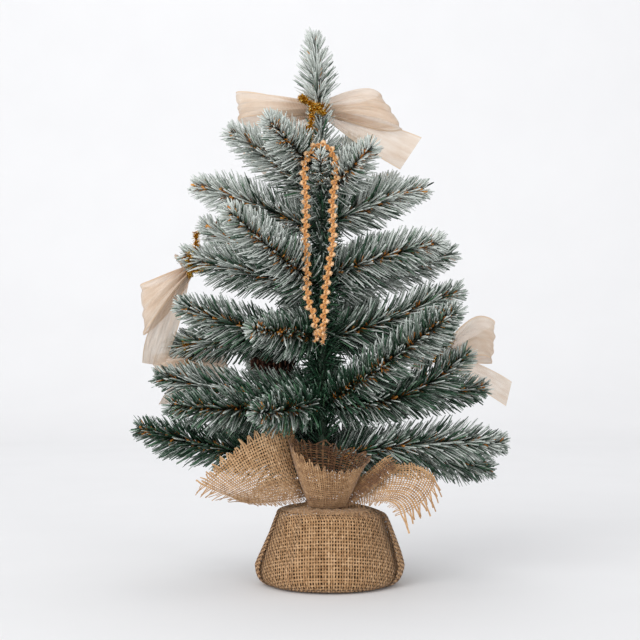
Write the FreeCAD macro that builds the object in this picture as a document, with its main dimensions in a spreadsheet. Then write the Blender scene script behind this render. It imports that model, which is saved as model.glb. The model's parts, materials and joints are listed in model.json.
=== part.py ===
import FreeCAD, Part
import math
import os
import Sketcher
from FreeCAD import Placement, Rotation, Vector

# An artificial tabletop tree, 500 mm tall, standing in a burlap-wrapped cement weight.
# Origin: centre of the underside of the wrapped base.  +X right, +Y to the rear, +Z up.

doc = FreeCAD.newDocument("tabletop_tree")

# ---------------------------------------------------------------- driving dimensions, mm and degrees

SIZES = {
    # weighted base and its burlap
    "base_foot_radius": 68.0,
    "base_top_radius": 49.5,
    "base_side_height": 60.0,
    "base_corner_radius": 8.0,
    "cloth_thickness": 1.4,
    "shoulder_height": 8.0,
    "neck_radius": 13.0,
    "neck_height": 8.0,
    "collar_height": 6.0,
    "collar_wall": 2.4,
    "flap_thickness": 2.0,
    "cement_gap": 0.6,
    "twine_radius": 1.1,
    # trunk
    "rod_radius": 3.0,
    "rod_depth": 45.0,
    "trunk_height": 395.0,
    "wrap_bore": 3.3,
    "wrap_radius": 4.5,
    "leader_length": 104.0,
    "leader_lean": 4.5,
    "leader_bare": 10.0,
    # branches
    "wire_radius": 0.9,
    "needle_bore": 1.2,
    "needle_radius": 4.5,
    "bare_length": 27.0,
    "hinge_radius": 9.0,
    "stub_gap": 1.2,
    "binding_radius": 0.5,
    # trimmings
    "loop_depth": 13.0,
    "tail_depth": 2.4,
    "waist_width": 7.0,
    "tinsel_radius": 1.2,
    "tinsel_clearance": 0.4,
    "cord_radius": 3.5,
    "knot_radius": 8.0,
    "knot_height": 8.0,
    "cone_length": 42.0,
    "cone_radius": 13.0,
    "cone_wire_radius": 0.7,
}

# Heights on the trunk where each tier of branches is bound on.
TIERS = {"low": 112.0, "lower": 163.0, "mid": 222.0, "upper": 268.0, "high": 325.0, "top": 352.0}

# Every branch: tier, offset above the tier, bearing (0 is +X, 90 is +Y), length,
# rise at the root, and curl: the turn from root to tip, upwards when positive.
BRANCHES = {
    "low_right": ("low", 0, -4, 160, 14, -18),
    "low_right_rear": ("low", 0, 22, 170, 5, -22),
    "low_rear_right": ("low", 0, 73, 150, 6, -8),
    "low_rear": ("low", 0, 102, 150, 8, 6),
    "low_rear_left": ("low", 0, 132, 150, 5, 8),
    "low_left": ("low", 0, 190, 165, 1, 22),
    "lower_front_right": ("lower", 0, -41, 170, 28, 5),
    "lower_right_curled": ("lower", 0, -19, 142, -8, 58),
    "lower_right": ("lower", 0, 9, 150, 3, 4),
    "lower_rear_right": ("lower", 0, 58, 140, 8, 6),
    "lower_rear": ("lower", 0, 88, 140, 12, -8),
    "lower_rear_left": ("lower", 0, 118, 140, 10, 8),
    "lower_left": ("lower", 5, 178, 148, 3, 8),
    "lower_left_front": ("lower", 0, 206, 140, -6, 12),
    "lower_front_left": ("lower", 0, 236, 95, -8, 10),
    "mid_right": ("mid", 0, -6, 127, 15, 10),
    "mid_right_rear": ("mid", 0, 33, 140, 2, -8),
    "mid_rear_right": ("mid", 0, 69, 130, 12, 8),
    "mid_rear_left": ("mid", 0, 104, 125, 14, 6),
    "mid_left_rear": ("mid", -2, 160, 148, 2, -12),
    "mid_left": ("mid", 0, 190, 128, 2, 24),
    "mid_front_left": ("mid", 0, 226, 80, 2, 8),
    "upper_right": ("upper", 10, -20, 108, 17, -4),
    "upper_right_rear": ("upper", -2, 14, 124, 14, 4),
    "upper_rear_right": ("upper", 4, 56, 115, 18, 6),
    "upper_rear_left": ("upper", 4, 110, 115, 18, 6),
    "upper_left_rear": ("upper", 0, 148, 142, 24, 4),
    "upper_left": ("upper", -1, 175, 126, 12, 4),
    "upper_front_left": ("upper", 0, 227, 128, 28, 4),
    "high_right": ("high", 0, -6, 92, 27, -16),
    "high_rear_right": ("high", 0, 42, 95, 24, 6),
    "high_rear_left": ("high", 0, 105, 95, 24, 6),
    "high_left": ("high", -7, 184, 116, 28, -16),
    "top_front_right": ("top", 0, -52, 72, 28, 4),
    "top_rear_right": ("top", 13, 60, 66, 34, 6),
    "top_rear_left": ("top", 13, 130, 70, 34, 6),
    "top_left": ("top", -2, 194, 98, 42, -12),
    "top_front_left": ("top", 20, 232, 80, 26, 6),
    "top_front": ("top", 2, 268, 46, 34, 6),
}


def fill_sheet():
    """Put every driving dimension in the spreadsheet, one named cell each."""
    page = doc.addObject("Spreadsheet::Sheet", "sizes")
    values = dict(SIZES)
    for tier, height in TIERS.items():
        values[f"{tier}_tier_height"] = height
    for name, (tier, offset, bearing, length, rise, curl) in BRANCHES.items():
        values[f"{name}_offset"] = offset
        values[f"{name}_bearing"] = bearing
        values[f"{name}_length"] = length
        values[f"{name}_rise"] = rise
        values[f"{name}_curl"] = curl
    for row, (name, value) in enumerate(values.items(), start=1):
        page.set(f"A{row}", name)
        page.set(f"B{row}", str(value))
        page.setAlias(f"B{row}", name)
    doc.recompute()
    return page


sheet = fill_sheet()
parts = {}


def size(name):
    """Read one driving dimension from the spreadsheet."""
    return float(sheet.get(name))


def keep(name, thing):
    """Label a finished sub-part; the label names its file."""
    thing.Label = name
    parts[name] = thing
    return thing


def bind(thing, **expressions):
    """Tie properties of an object to cells of the sheet."""
    for field, expression in expressions.items():
        thing.setExpression(field, expression)


def place(thing, position, rotation=Rotation()):
    thing.Placement = Placement(Vector(*position), rotation)
    return thing


def solid(kind, name, position, rotation=Rotation(), **expressions):
    """A Part primitive with its sizes tied to the sheet."""
    thing = doc.addObject(f"Part::{kind}", name)
    bind(thing, **expressions)
    return place(thing, position, rotation)


def fuse(name, things):
    thing = doc.addObject("Part::MultiFuse", name)
    thing.Shapes = things
    return thing


def cut(name, base, tool):
    thing = doc.addObject("Part::Cut", name)
    thing.Base = base
    thing.Tool = tool
    return thing


def group(name, things):
    """Separate solids that share one node."""
    thing = doc.addObject("Part::Compound", name)
    thing.Links = things
    return thing


def fixed_shape(name, shape):
    thing = doc.addObject("Part::Feature", name)
    thing.Shape = shape
    return thing


def lowest_circle(thing):
    """Number of the round edge that lies lowest, for a fillet."""
    doc.recompute()
    edges = thing.Shape.Edges
    return 1 + min(range(len(edges)), key=lambda i: edges[i].BoundBox.ZMax)


def origin_plane(body, role):
    return next(item for item in body.Origin.OriginFeatures if item.Role == role)


def new_sketch(body, name, role):
    sketch = body.newObject("Sketcher::SketchObject", name)
    sketch.AttachmentSupport = (origin_plane(body, role), [""])
    sketch.MapMode = "FlatFace"
    return sketch


def add_outline(sketch, corners):
    """Draw a closed outline of straight lines, each joined to the next."""
    first = sketch.GeometryCount
    for start, end in zip(corners, corners[1:] + corners[:1]):
        sketch.addGeometry(Part.LineSegment(start, end))
    last = sketch.GeometryCount - 1
    for index in range(first, last):
        sketch.addConstraint(Sketcher.Constraint("Coincident", index, 2, index + 1, 1))
    sketch.addConstraint(Sketcher.Constraint("Coincident", last, 2, first, 1))


# ---------------------------------------------------------------- base and burlap


def round_stack(name, inset, drop):
    """The base's outline as stacked cones and a neck, moved inwards by the inset and with its
    shoulder lowered by the drop; both are sums of cells of the sheet."""
    foot = f"sizes.base_foot_radius - {inset}"
    top = f"sizes.base_top_radius - {inset}"
    neck = f"sizes.neck_radius - {inset}"
    side = doc.addObject("Part::Cone", f"{name}_side")
    bind(side, Radius1=foot, Radius2=top, Height=f"sizes.base_side_height - {drop}")
    doc.recompute()
    side_height = side.Height.Value
    shoulder = solid("Cone", f"{name}_shoulder", (0, 0, side_height), Radius1=top, Radius2=neck,
                     Height="sizes.shoulder_height")
    neck_start = side_height + size("shoulder_height")
    tube = solid("Cylinder", f"{name}_neck", (0, 0, neck_start), Radius=neck,
                 Height=f"sizes.neck_height + {drop}")
    stack = fuse(f"{name}_stack", [side, shoulder, tube])
    rounded = doc.addObject("Part::Fillet", f"{name}_rounded")
    rounded.Base = stack
    radius = size("base_corner_radius")
    rounded.Edges = [(lowest_circle(stack), radius, radius)]
    return rounded


def make_burlap_bag():
    """The cloth round the base: one skin, open only at the neck."""
    outside = round_stack("bag_outside", "0", "0")
    inside = round_stack("bag_inside", "sizes.cloth_thickness", "2.2 * sizes.cloth_thickness")
    place(inside, (0, 0, size("cloth_thickness")))
    doc.recompute()
    keep("burlap_bag", cut("bag_skin", outside, inside))


def make_cement_base():
    """The cast weight, with a blind hole that the trunk rod is set in."""
    inset = size("cloth_thickness") + size("cement_gap")
    height = size("base_side_height") - 2 * inset
    block = doc.addObject("Part::Cone", "cement_block")
    bind(block, Radius1="sizes.base_foot_radius - sizes.cloth_thickness - 3 * sizes.cement_gap",
         Radius2="sizes.base_top_radius - sizes.cloth_thickness - 3 * sizes.cement_gap",
         Height="sizes.base_side_height - 2 * sizes.cloth_thickness - 2 * sizes.cement_gap")
    place(block, (0, 0, size("cloth_thickness")))
    rounded = doc.addObject("Part::Fillet", "cement_rounded")
    rounded.Base = block
    radius = size("base_corner_radius")
    rounded.Edges = [(lowest_circle(block), radius, radius)]
    top = size("cloth_thickness") + height
    hole = solid("Cylinder", "rod_hole", (0, 0, top - size("rod_depth")),
                 Radius="sizes.rod_radius", Height="sizes.rod_depth + 5")
    keep("cement_base", cut("cement_with_hole", rounded, hole))
    return top


def make_neck_tie(neck_middle):
    """Two turns of jute twine that gather the cloth round the trunk, and their knot."""
    pieces = []
    for index, side in enumerate((-1.1, 1.1)):
        height = neck_middle + side * size("twine_radius")
        pieces.append(solid("Torus", f"twine_turn_{index}", (0, 0, height),
                            Radius1="sizes.neck_radius + 1.1 * sizes.twine_radius",
                            Radius2="sizes.twine_radius"))
    knot_reach = size("neck_radius") + 4.2 * size("twine_radius")
    pieces.append(solid("Sphere", "twine_knot", (knot_reach, 0, neck_middle),
                        Radius="1.9 * sizes.twine_radius"))
    keep("neck_tie", group("tied_twine", pieces))


def upright_flap(start, end, outline):
    """A flap of cloth standing in the upright plane from start to end.

    The outline runs along that plane (mm from start) and up (mm above the ground)."""
    along = Vector(end[0] - start[0], end[1] - start[1], 0).normalize()
    across = Vector(-along.y, along.x, 0) * size("flap_thickness")
    foot = Vector(start[0], start[1], 0) - across * 0.5
    corners = [foot + along * reach + Vector(0, 0, height) for reach, height in outline]
    face = Part.Face(Part.makePolygon(corners + [corners[0]]))
    return face.extrude(across)


def make_burlap_ruffle(collar_start):
    """The loose top of the cloth: a collar with a standing front, a fan, and drooping flaps."""
    outer = Part.makeCylinder(size("neck_radius"), size("collar_height"), Vector(0, 0, collar_start))
    inner = Part.makeCylinder(size("neck_radius") - size("collar_wall"), size("collar_height"),
                              Vector(0, 0, collar_start))
    low = collar_start + 1
    flaps = [
        # the left fan, long and low
        upright_flap((-6, -10.5), (-107, -42),
                     [(0, low), (0, low + 16), (36, 132), (60, 122), (104, 95), (103, 86), (62, 73), (34, 71)]),
        # the right drape
        upright_flap((6, -10.5), (104, -34),
                     [(0, low), (10, 98), (30, 103), (56, 106), (82, 102), (99, 82), (88, 74), (36, 78)]),
        # the front of the cuff, standing up in three facets
        upright_flap((-12, -11), (-40, -33),
                     [(-4, low), (-2, 104), (22, 136), (32, 134), (34, 112), (6, low)]),
        upright_flap((0, -11.5), (0, -40),
                     [(0, low), (8, 104), (22, 112), (24, 104), (6, low)]),
        upright_flap((11, -10), (38, -30),
                     [(-4, low), (0, 104), (20, 128), (30, 120), (32, 104), (6, low)]),
        # two short flaps at the rear
        upright_flap((5, 10.5), (34, 56),
                     [(0, low), (10, 92), (40, 88), (54, 74), (30, 70)]),
        upright_flap((-7, 10), (-46, 44),
                     [(0, low), (10, 92), (38, 86), (50, 72), (28, 70)]),
    ]
    shape = outer.cut(inner)
    for flap in flaps:
        shape = shape.fuse(flap)
    keep("burlap_ruffle", fixed_shape("ruffle_cloth", shape.removeSplitter()))


# ---------------------------------------------------------------- trunk


def make_trunk(rod_foot, wrap_foot):
    """The steel rod, the tape wound on it, and the leader shoot that carries on from its top."""
    rod = doc.addObject("Part::Cylinder", "rod")
    bind(rod, Radius="sizes.rod_radius", Height=f"sizes.trunk_height - {rod_foot}")
    keep("trunk_rod", place(rod, (0, 0, rod_foot)))
    wrap_height = f"sizes.trunk_height - {wrap_foot} - 2"
    tape = solid("Cylinder", "tape", (0, 0, wrap_foot), Radius="sizes.wrap_radius", Height=wrap_height)
    bore = solid("Cylinder", "tape_bore", (0, 0, wrap_foot), Radius="sizes.wrap_bore",
                 Height=wrap_height)
    keep("trunk_wrap", cut("tape_sleeve", tape, bore))
    lean = Rotation(Vector(0, 1, 0), -size("leader_lean"))
    top = Vector(0, 0, size("trunk_height") + 0.3)
    wire = solid("Cylinder", "leader_wire", top, lean, Radius="sizes.wire_radius + 0.3",
                 Height="sizes.leader_length - 3")
    sleeve_foot = top + lean.multVec(Vector(0, 0, size("leader_bare")))
    sleeve = solid("Cylinder", "leader_sleeve", sleeve_foot, lean,
                   Radius="sizes.needle_radius", Height="sizes.leader_length - sizes.leader_bare")
    hollow = solid("Cylinder", "leader_hollow", top, lean, Radius="sizes.wire_radius + 0.6",
                   Height="sizes.leader_length - 2")
    keep("leader_shoot", group("leader_pieces", [wire, cut("leader_needles", sleeve, hollow)]))


# ---------------------------------------------------------------- branches


def hinge_point(name):
    """Where the branch's wire bends, just clear of the trunk."""
    tier = BRANCHES[name][0]
    bearing = math.radians(size(f"{name}_bearing"))
    reach = size("hinge_radius")
    height = size(f"{tier}_tier_height") + size(f"{name}_offset")
    return Vector(reach * math.cos(bearing), reach * math.sin(bearing), height)


def branch_frame(name, distance):
    """Placement that turns an arc, swept about Z from (radius, 0, 0), into the branch from
    a distance along it."""
    bearing = math.radians(size(f"{name}_bearing"))
    rise = math.radians(size(f"{name}_rise"))
    curl = math.radians(size(f"{name}_curl"))
    radius = size(f"{name}_length") / abs(curl)
    heading = Vector(math.cos(bearing) * math.cos(rise), math.sin(bearing) * math.cos(rise),
                     math.sin(rise))
    above = Vector(-math.cos(bearing) * math.sin(rise), -math.sin(bearing) * math.sin(rise),
                   math.cos(rise))
    inward = above * math.copysign(1, curl)
    outward = inward * -1
    centre = hinge_point(name) + inward * radius
    turn = Rotation(outward, heading, outward.cross(heading), "XYZ")
    start = Rotation(Vector(0, 0, 1), math.degrees(distance / radius))
    return Placement(centre, turn.multiply(start)), radius


def branch_point(name, distance):
    """Point on the branch's centreline, a distance from its hinge."""
    frame, radius = branch_frame(name, distance)
    return frame.multVec(Vector(radius, 0, 0))


def branch_heading(name, distance):
    frame, _ = branch_frame(name, distance)
    return frame.Rotation.multVec(Vector(0, 1, 0))


def arc_body(label, branch, circles, share):
    """A ring or disc section swept along a share of the branch's arc."""
    body = doc.addObject("PartDesign::Body", label)
    sketch = new_sketch(body, f"{label}_section", "XZ_Plane")
    _, radius = branch_frame(branch, 0)
    bend = f"sizes.{branch}_length / (abs(sizes.{branch}_curl) * pi / 180)"
    for index, cell in enumerate(circles):
        sketch.addGeometry(Part.Circle(Vector(radius, 0, 0), Vector(0, 0, 1), size(cell)))
        sketch.addConstraint(Sketcher.Constraint("Radius", index, size(cell)))
        sketch.setExpression(f"Constraints[{3 * index}]", f"sizes.{cell}")
        sketch.addConstraint(Sketcher.Constraint("DistanceX", -1, 1, index, 3, radius))
        sketch.setExpression(f"Constraints[{3 * index + 1}]", bend)
        sketch.addConstraint(Sketcher.Constraint("PointOnObject", index, 3, -1))
    sweep = body.newObject("PartDesign::Revolution", f"{label}_sweep")
    sweep.Profile = sketch
    sweep.ReferenceAxis = (sketch, ["V_Axis"])
    sweep.setExpression("Angle", f"abs(sizes.{branch}_curl) * {share}")
    sketch.Visibility = False
    return body


def make_branch(name):
    """A twisted-wire core in a slim sleeve that stands for the dense root of its needles."""
    wire = arc_body(f"{name}_wire", name, ["wire_radius"], f"(1 - 2 / sizes.{name}_length)")
    wire.Placement, _ = branch_frame(name, 0)
    share = f"(1 - sizes.bare_length / sizes.{name}_length)"
    sleeve = arc_body(f"{name}_needles", name, ["needle_radius", "needle_bore"], share)
    sleeve.Placement, _ = branch_frame(name, size("bare_length"))
    keep(name, group(f"{name}_pieces", [wire, sleeve]))


def make_branch_roots():
    """The fixed ends of the branch wires, which stand out of the trunk's tape."""
    stubs = []
    for name in BRANCHES:
        hinge = hinge_point(name)
        out = Vector(hinge.x, hinge.y, 0).normalize()
        start = out * (size("wrap_radius") + 0.1)
        foot = Vector(start.x, start.y, hinge.z)
        stubs.append(solid("Cylinder", f"{name}_stub", foot, Rotation(Vector(0, 0, 1), out),
                           Radius="sizes.wire_radius",
                           Height="sizes.hinge_radius - sizes.stub_gap - sizes.wrap_radius - 0.1"))
    keep("branch_roots", group("root_pieces", stubs))


def make_binding_wires():
    """Rings of fine wire round the trunk, one above and one below each tier's roots."""
    heights = sorted({round(hinge_point(name).z, 3) for name in BRANCHES})
    spread = size("wire_radius") + size("binding_radius") + 0.3
    levels = []
    for height in heights:
        for level in (height - spread, height + spread):
            clear_of_roots = all(abs(level - other) >= spread - 0.01 for other in heights)
            clear_of_rings = all(abs(level - other) > 2.1 * size("binding_radius") for other in levels)
            if clear_of_roots and clear_of_rings:
                levels.append(level)
    rings = [solid("Torus", f"binding_{index}", (0, 0, level),
                   Radius1="sizes.wrap_radius + sizes.binding_radius + 0.1",
                   Radius2="sizes.binding_radius")
             for index, level in enumerate(levels)]
    keep("binding_wires", group("binding_rings", rings))


# ---------------------------------------------------------------- bows


def polygon_pad(body, name, outlines, depth_cell):
    """Pad closed outlines equally to both sides of the body's XZ plane."""
    sketch = new_sketch(body, f"{name}_outline", "XZ_Plane")
    for outline in outlines:
        add_outline(sketch, [Vector(along, up, 0) for along, up in outline])
    pad = body.newObject("PartDesign::Pad", f"{name}_pad")
    pad.Profile = sketch
    pad.Midplane = True
    pad.setExpression("Length", f"sizes.{depth_cell}")
    return pad


def make_ribbon(name, knot, loops, tails):
    """A bow of wide ribbon: deep loops and thin tails, gathered at a square waist."""
    body = doc.addObject("PartDesign::Body", f"{name}_body")
    half = size("waist_width") / 2
    polygon_pad(body, f"{name}_waist", [[(-half, -half), (half, -half), (half, half), (-half, half)]],
                "waist_width")
    for index, loop in enumerate(loops):
        polygon_pad(body, f"{name}_loop_{index}", [loop], "loop_depth")
    for index, tail in enumerate(tails):
        polygon_pad(body, f"{name}_tail_{index}", [tail], "tail_depth")
    body.Placement = Placement(knot, Rotation())
    keep(name, body)


def make_tinsel_tie(name, knot, held, heading, tail_drop):
    """A foil-covered wire: a ring round the ribbon's waist, a ring round the shoot or branch
    that the bow hangs on, a straight link between them, and one loose end."""
    tinsel = size("tinsel_radius")
    spread = tinsel + size("tinsel_clearance")
    waist_reach = size("waist_width") / math.sqrt(2) + spread
    held_reach = size("needle_radius") + spread
    waist_ring = Part.makeTorus(waist_reach, tinsel, knot, Vector(1, 0, 0))
    held_ring = Part.makeTorus(held_reach, tinsel, held, heading)
    toward = Vector(held - knot).normalize()
    start = knot + toward * waist_reach
    end = held - toward * held_reach
    link = Part.makeCylinder(0.8 * tinsel, (end - start).Length, start, end - start)
    loose = Part.makeCylinder(0.8 * tinsel, tail_drop.Length,
                              knot + Vector(0, -waist_reach, 0), tail_drop)
    shape = waist_ring.fuse(held_ring).fuse(link).fuse(loose)
    keep(name, fixed_shape(f"{name}_wire", shape))


BOWS = {
    "top_bow": {
        "loops": [
            [(-3, 3), (-15, 6), (-71, 17), (-68, -19), (-3, -3)],
            [(3, 3), (56, 14), (75, -17), (46, -19), (3, -3)],
        ],
        "tails": [
            [(0, -1), (60, -18), (97, -25), (76, -55), (45, -33), (5, -6)],
            [(0, -1), (-60, -19), (-70, -54), (-50, -50), (-5, -6)],
        ],
    },
    "left_bow": {
        "loops": [
            [(-3, -3), (-3, 2), (-41, -17), (-46, -38), (-35, -55), (-13, -38)],
            [(-3, 0), (-34, 30), (-22, 34), (-3, 3)],
        ],
        "tails": [
            [(-2, -3), (-9, -32), (-28, -88), (-42, -85), (-36, -52), (-8, -4)],
        ],
    },
    "right_bow": {
        "loops": [
            [(3, 2), (14, 16), (32, 27), (40, 16), (44, -12), (28, -13), (3, -3)],
            [(-3, 2), (-44, 24), (-60, 10), (-52, -4), (-3, -3)],
        ],
        "tails": [
            [(1, -2), (40, -11), (66, -26), (58, -45), (22, -24), (2, -6)],
        ],
    },
    "rear_bow": {
        "loops": [
            [(-3, 2), (-32, 6), (-34, -14), (-3, -3)],
            [(3, 2), (30, 4), (34, -14), (3, -3)],
        ],
        "tails": [
            [(-2, -1), (-14, -42), (-28, -39), (-6, -2)],
            [(2, -1), (24, -40), (12, -45), (2, -6)],
        ],
    },
}


def make_bows():
    """One bow behind the leader, and three on branches."""
    lean = Rotation(Vector(0, 1, 0), -size("leader_lean"))
    up = lean.multVec(Vector(0, 0, 1))
    leader_middle = Vector(0, 0, size("trunk_height")) + up * 34
    spots = {
        "top_bow": (leader_middle, up, Vector(0, 16, 0), Vector(3, 0, -26)),
        "left_bow": (branch_point("upper_left", 116), branch_heading("upper_left", 116),
                     Vector(0, 12, -11), Vector(3, 1.5, 20)),
        "right_bow": (branch_point("mid_right_rear", 130), branch_heading("mid_right_rear", 130),
                      Vector(0, 0, -16), Vector(-14, -6, -8)),
        "rear_bow": (branch_point("mid_left_rear", 122), branch_heading("mid_left_rear", 122),
                     Vector(0, 0, -16), Vector(4, -6, -8)),
    }
    for name, (held, heading, offset, tail_drop) in spots.items():
        knot = held + offset
        make_ribbon(f"{name}_ribbon", knot, BOWS[name]["loops"], BOWS[name]["tails"])
        make_tinsel_tie(f"{name}_tie", knot, held, heading, tail_drop)


# ---------------------------------------------------------------- plaited garland loop

# Route of the loop's centreline: along X and up, in the upright plane that it hangs in.
LOOP_PLANE = -38.0
LOOP_ROUTE = [
    (-5.8, 230.0), (-5.8, 239.0), (-13.5, 253.0), (-13.0, 281.0), (-15.2, 308.0), (-13.4, 341.0),
    (-16.6, 367.0), (-13.0, 382.0), (-5.0, 390.5), (4.5, 390.0), (11.5, 379.5), (12.8, 363.0),
    (8.4, 341.0), (10.4, 308.0), (5.4, 281.0), (2.6, 256.0), (1.8, 243.0), (1.8, 230.0),
]


def rounded_route(points):
    """Straight runs joined by tangent arcs, each as large as its two runs allow."""
    edges = []
    radii = []
    last = points[0]
    for before, corner, after in zip(points, points[1:], points[2:]):
        into = (corner - before).normalize()
        out = (after - corner).normalize()
        half_turn = into.getAngle(out) / 2
        reach = 0.45 * min((corner - before).Length, (after - corner).Length)
        radius = reach / math.tan(half_turn)
        start = corner - into * reach
        end = corner + out * reach
        inward = (out - into).normalize()
        middle = corner + inward * (radius / math.cos(half_turn) - radius)
        edges.append(Part.LineSegment(last, start).toShape())
        edges.append(Part.Arc(start, middle, end).toShape())
        radii.append(round(radius, 1))
        last = end
    edges.append(Part.LineSegment(last, points[-1]).toShape())
    return Part.Wire(edges), radii


def make_garland():
    """A plaited cord hung over the front shoot at the top, its ends tied together below."""
    points = [Vector(along, LOOP_PLANE, up) for along, up in LOOP_ROUTE]
    path, radii = rounded_route(points)
    section = Part.Wire(Part.Circle(points[0], Vector(0, 0, 1), size("cord_radius")).toShape())
    tube = path.makePipeShell([section], True, True)
    wanted = math.pi * size("cord_radius") ** 2 * path.Length
    print("garland cord: length", round(path.Length, 1), "radii", radii)
    print("garland cord: volume", round(tube.Volume), "of", round(wanted))
    foot = points[0].z
    left, right = points[0].x, points[-1].x
    tails = []
    for along, drop in ((left + 1.0, 9.0), (right - 0.4, 12.0)):
        start = Vector(along, LOOP_PLANE, foot - size("knot_height"))
        tails.append(Part.makeCylinder(0.8 * size("cord_radius"), drop, start, Vector(0, 0, -1)))
    cord = fixed_shape("garland_strand", Part.makeCompound([tube] + tails))
    keep("garland_loop_cord", cord)
    middle = ((left + right) / 2, LOOP_PLANE, foot - size("knot_height"))
    knot = solid("Cylinder", "garland_tie", middle, Radius="sizes.knot_radius",
                 Height="sizes.knot_height")
    keep("garland_loop_knot", knot)


# ---------------------------------------------------------------- pine cone


def make_pine_cone():
    """A pine cone lying level under a branch, and the wire that holds it there."""
    body = doc.addObject("PartDesign::Body", "cone_body")
    sketch = new_sketch(body, "cone_outline", "XZ_Plane")
    length, radius = size("cone_length"), size("cone_radius")
    outline = [(0, 0), (0, 0.45), (0.14, 0.86), (0.36, 1), (0.6, 0.86), (0.84, 0.48), (1, 0.12), (1, 0)]
    corners = [Vector(-along * length, out * radius, 0) for along, out in outline]
    add_outline(sketch, corners)
    sweep = body.newObject("PartDesign::Revolution", "cone_sweep")
    sweep.Profile = sketch
    sweep.ReferenceAxis = (sketch, ["H_Axis"])
    sweep.Angle = 360
    stem_place = branch_point("mid_left_rear", 18) + Vector(0.5, 13, -22)
    body.Placement = Placement(stem_place, Rotation())
    keep("pine_cone", body)
    held = branch_point("mid_left_rear", 16)
    thickness = size("cone_wire_radius")
    ring = Part.makeTorus(size("wire_radius") + thickness + 0.4, thickness, held,
                          branch_heading("mid_left_rear", 16))
    hang = stem_place + Vector(thickness + 0.1, 0, 0)
    top = held + Vector(0, 0, -(size("wire_radius") + thickness + 0.4))
    link = Part.makeCylinder(thickness, (top - hang).Length, hang, top - hang)
    keep("pine_cone_wire", fixed_shape("cone_wire_shape", ring.fuse(link)))


# ---------------------------------------------------------------- build, check and write


def build():
    neck_start = size("base_side_height") + size("shoulder_height")
    neck_end = neck_start + size("neck_height")
    make_burlap_bag()
    cement_top = make_cement_base()
    make_neck_tie((neck_start + neck_end) / 2)
    make_burlap_ruffle(neck_end + size("cloth_thickness"))
    make_trunk(cement_top - size("rod_depth"), cement_top + 1)
    for name in BRANCHES:
        make_branch(name)
    make_branch_roots()
    make_binding_wires()
    make_bows()
    make_garland()
    make_pine_cone()


def check_and_write():
    doc.recompute()
    for thing in doc.Objects:
        if "Invalid" in thing.State or "Error" in thing.State:
            raise RuntimeError(f"{thing.Name} failed: {thing.State}")
    for name, thing in parts.items():
        if thing.Shape.isNull() or not thing.Shape.isValid() or not thing.Shape.Solids:
            raise RuntimeError(f"{name} has no valid solid")
    os.makedirs("parts", exist_ok=True)
    for name, thing in parts.items():
        thing.Shape.exportStep(f"parts/{name}.step")
    print(len(parts), "sub-parts written")


build()
check_and_write()
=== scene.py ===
"""A frosted artificial tabletop tree in a burlap-wrapped base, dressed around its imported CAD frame."""

import json
import math

import bpy
import numpy as np
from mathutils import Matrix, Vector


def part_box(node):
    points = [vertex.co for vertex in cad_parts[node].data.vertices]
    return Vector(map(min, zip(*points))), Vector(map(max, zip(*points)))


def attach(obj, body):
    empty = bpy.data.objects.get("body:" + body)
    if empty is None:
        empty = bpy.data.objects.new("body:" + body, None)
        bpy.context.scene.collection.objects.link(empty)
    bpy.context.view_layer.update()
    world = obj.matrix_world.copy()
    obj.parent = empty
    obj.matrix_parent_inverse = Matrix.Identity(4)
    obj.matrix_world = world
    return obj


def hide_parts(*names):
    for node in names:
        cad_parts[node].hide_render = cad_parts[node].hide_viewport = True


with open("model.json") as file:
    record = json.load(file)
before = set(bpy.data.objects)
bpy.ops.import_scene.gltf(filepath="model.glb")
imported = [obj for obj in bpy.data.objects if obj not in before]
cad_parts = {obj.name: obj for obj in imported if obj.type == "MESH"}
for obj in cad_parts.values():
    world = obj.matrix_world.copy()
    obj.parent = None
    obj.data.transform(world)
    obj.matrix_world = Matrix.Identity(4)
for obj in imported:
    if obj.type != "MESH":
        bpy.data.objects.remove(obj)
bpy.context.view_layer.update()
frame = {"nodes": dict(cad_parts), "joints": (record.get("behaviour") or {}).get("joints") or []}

MM = 0.001
JOINTS = {joint["name"]: joint for joint in frame["joints"]}
GOLDEN_TURN = math.radians(137.5)

# ---------------------------------------------------------------- camera, light and floor


# Where the camera stands, in metres: a little left of the trunk, at half the tree's height.
CAMERA_PLACE = (-0.0018, -1.36, 0.2367)


def make_camera():
    """Level camera at the height and distance of a tabletop product shot."""
    data = bpy.data.cameras.new("camera")
    data.lens = 85
    data.sensor_width = 36
    data.clip_end = 50
    camera = bpy.data.objects.new("camera", data)
    camera.location = CAMERA_PLACE
    camera.rotation_euler = (math.radians(90), 0, 0)
    bpy.context.scene.collection.objects.link(camera)
    bpy.context.scene.camera = camera


def soft_light(name, place, target, width, power):
    """A square softbox aimed at a point."""
    data = bpy.data.lights.new(name, "AREA")
    data.shape = "SQUARE"
    data.size = width
    data.energy = power
    light = bpy.data.objects.new(name, data)
    light.location = place
    heading = np.array(target) - np.array(place)
    flat = math.hypot(heading[0], heading[1])
    tilt, turn = math.atan2(flat, -heading[2]), math.atan2(heading[1], heading[0]) - math.pi / 2
    light.rotation_euler = (tilt, 0, turn)
    bpy.context.scene.collection.objects.link(light)


def make_lights():
    """Even white surroundings, a large softbox above the front left and a weaker one at the right."""
    world = bpy.data.worlds.new("studio")
    world.use_nodes = True
    background = world.node_tree.nodes["Background"]
    background.inputs["Color"].default_value = (0.98, 0.985, 1.0, 1)
    background.inputs["Strength"].default_value = 0.71
    bpy.context.scene.world = world
    middle = (0, 0, 0.24)
    soft_light("key", (-1.9, -3.0, 1.7), middle, 3.0, 94)
    soft_light("fill", (1.7, -2.6, 0.9), middle, 1.6, 16)
    soft_light("top", (0.1, 0.4, 1.9), middle, 1.4, 2)
    soft_light("backdrop", (0.0, 0.9, 2.6), (0.0, 2.5, 1.5), 1.6, 9)
    bpy.context.scene.view_settings.view_transform = "Standard"


# ---------------------------------------------------------------- meshes from arrays


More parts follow.
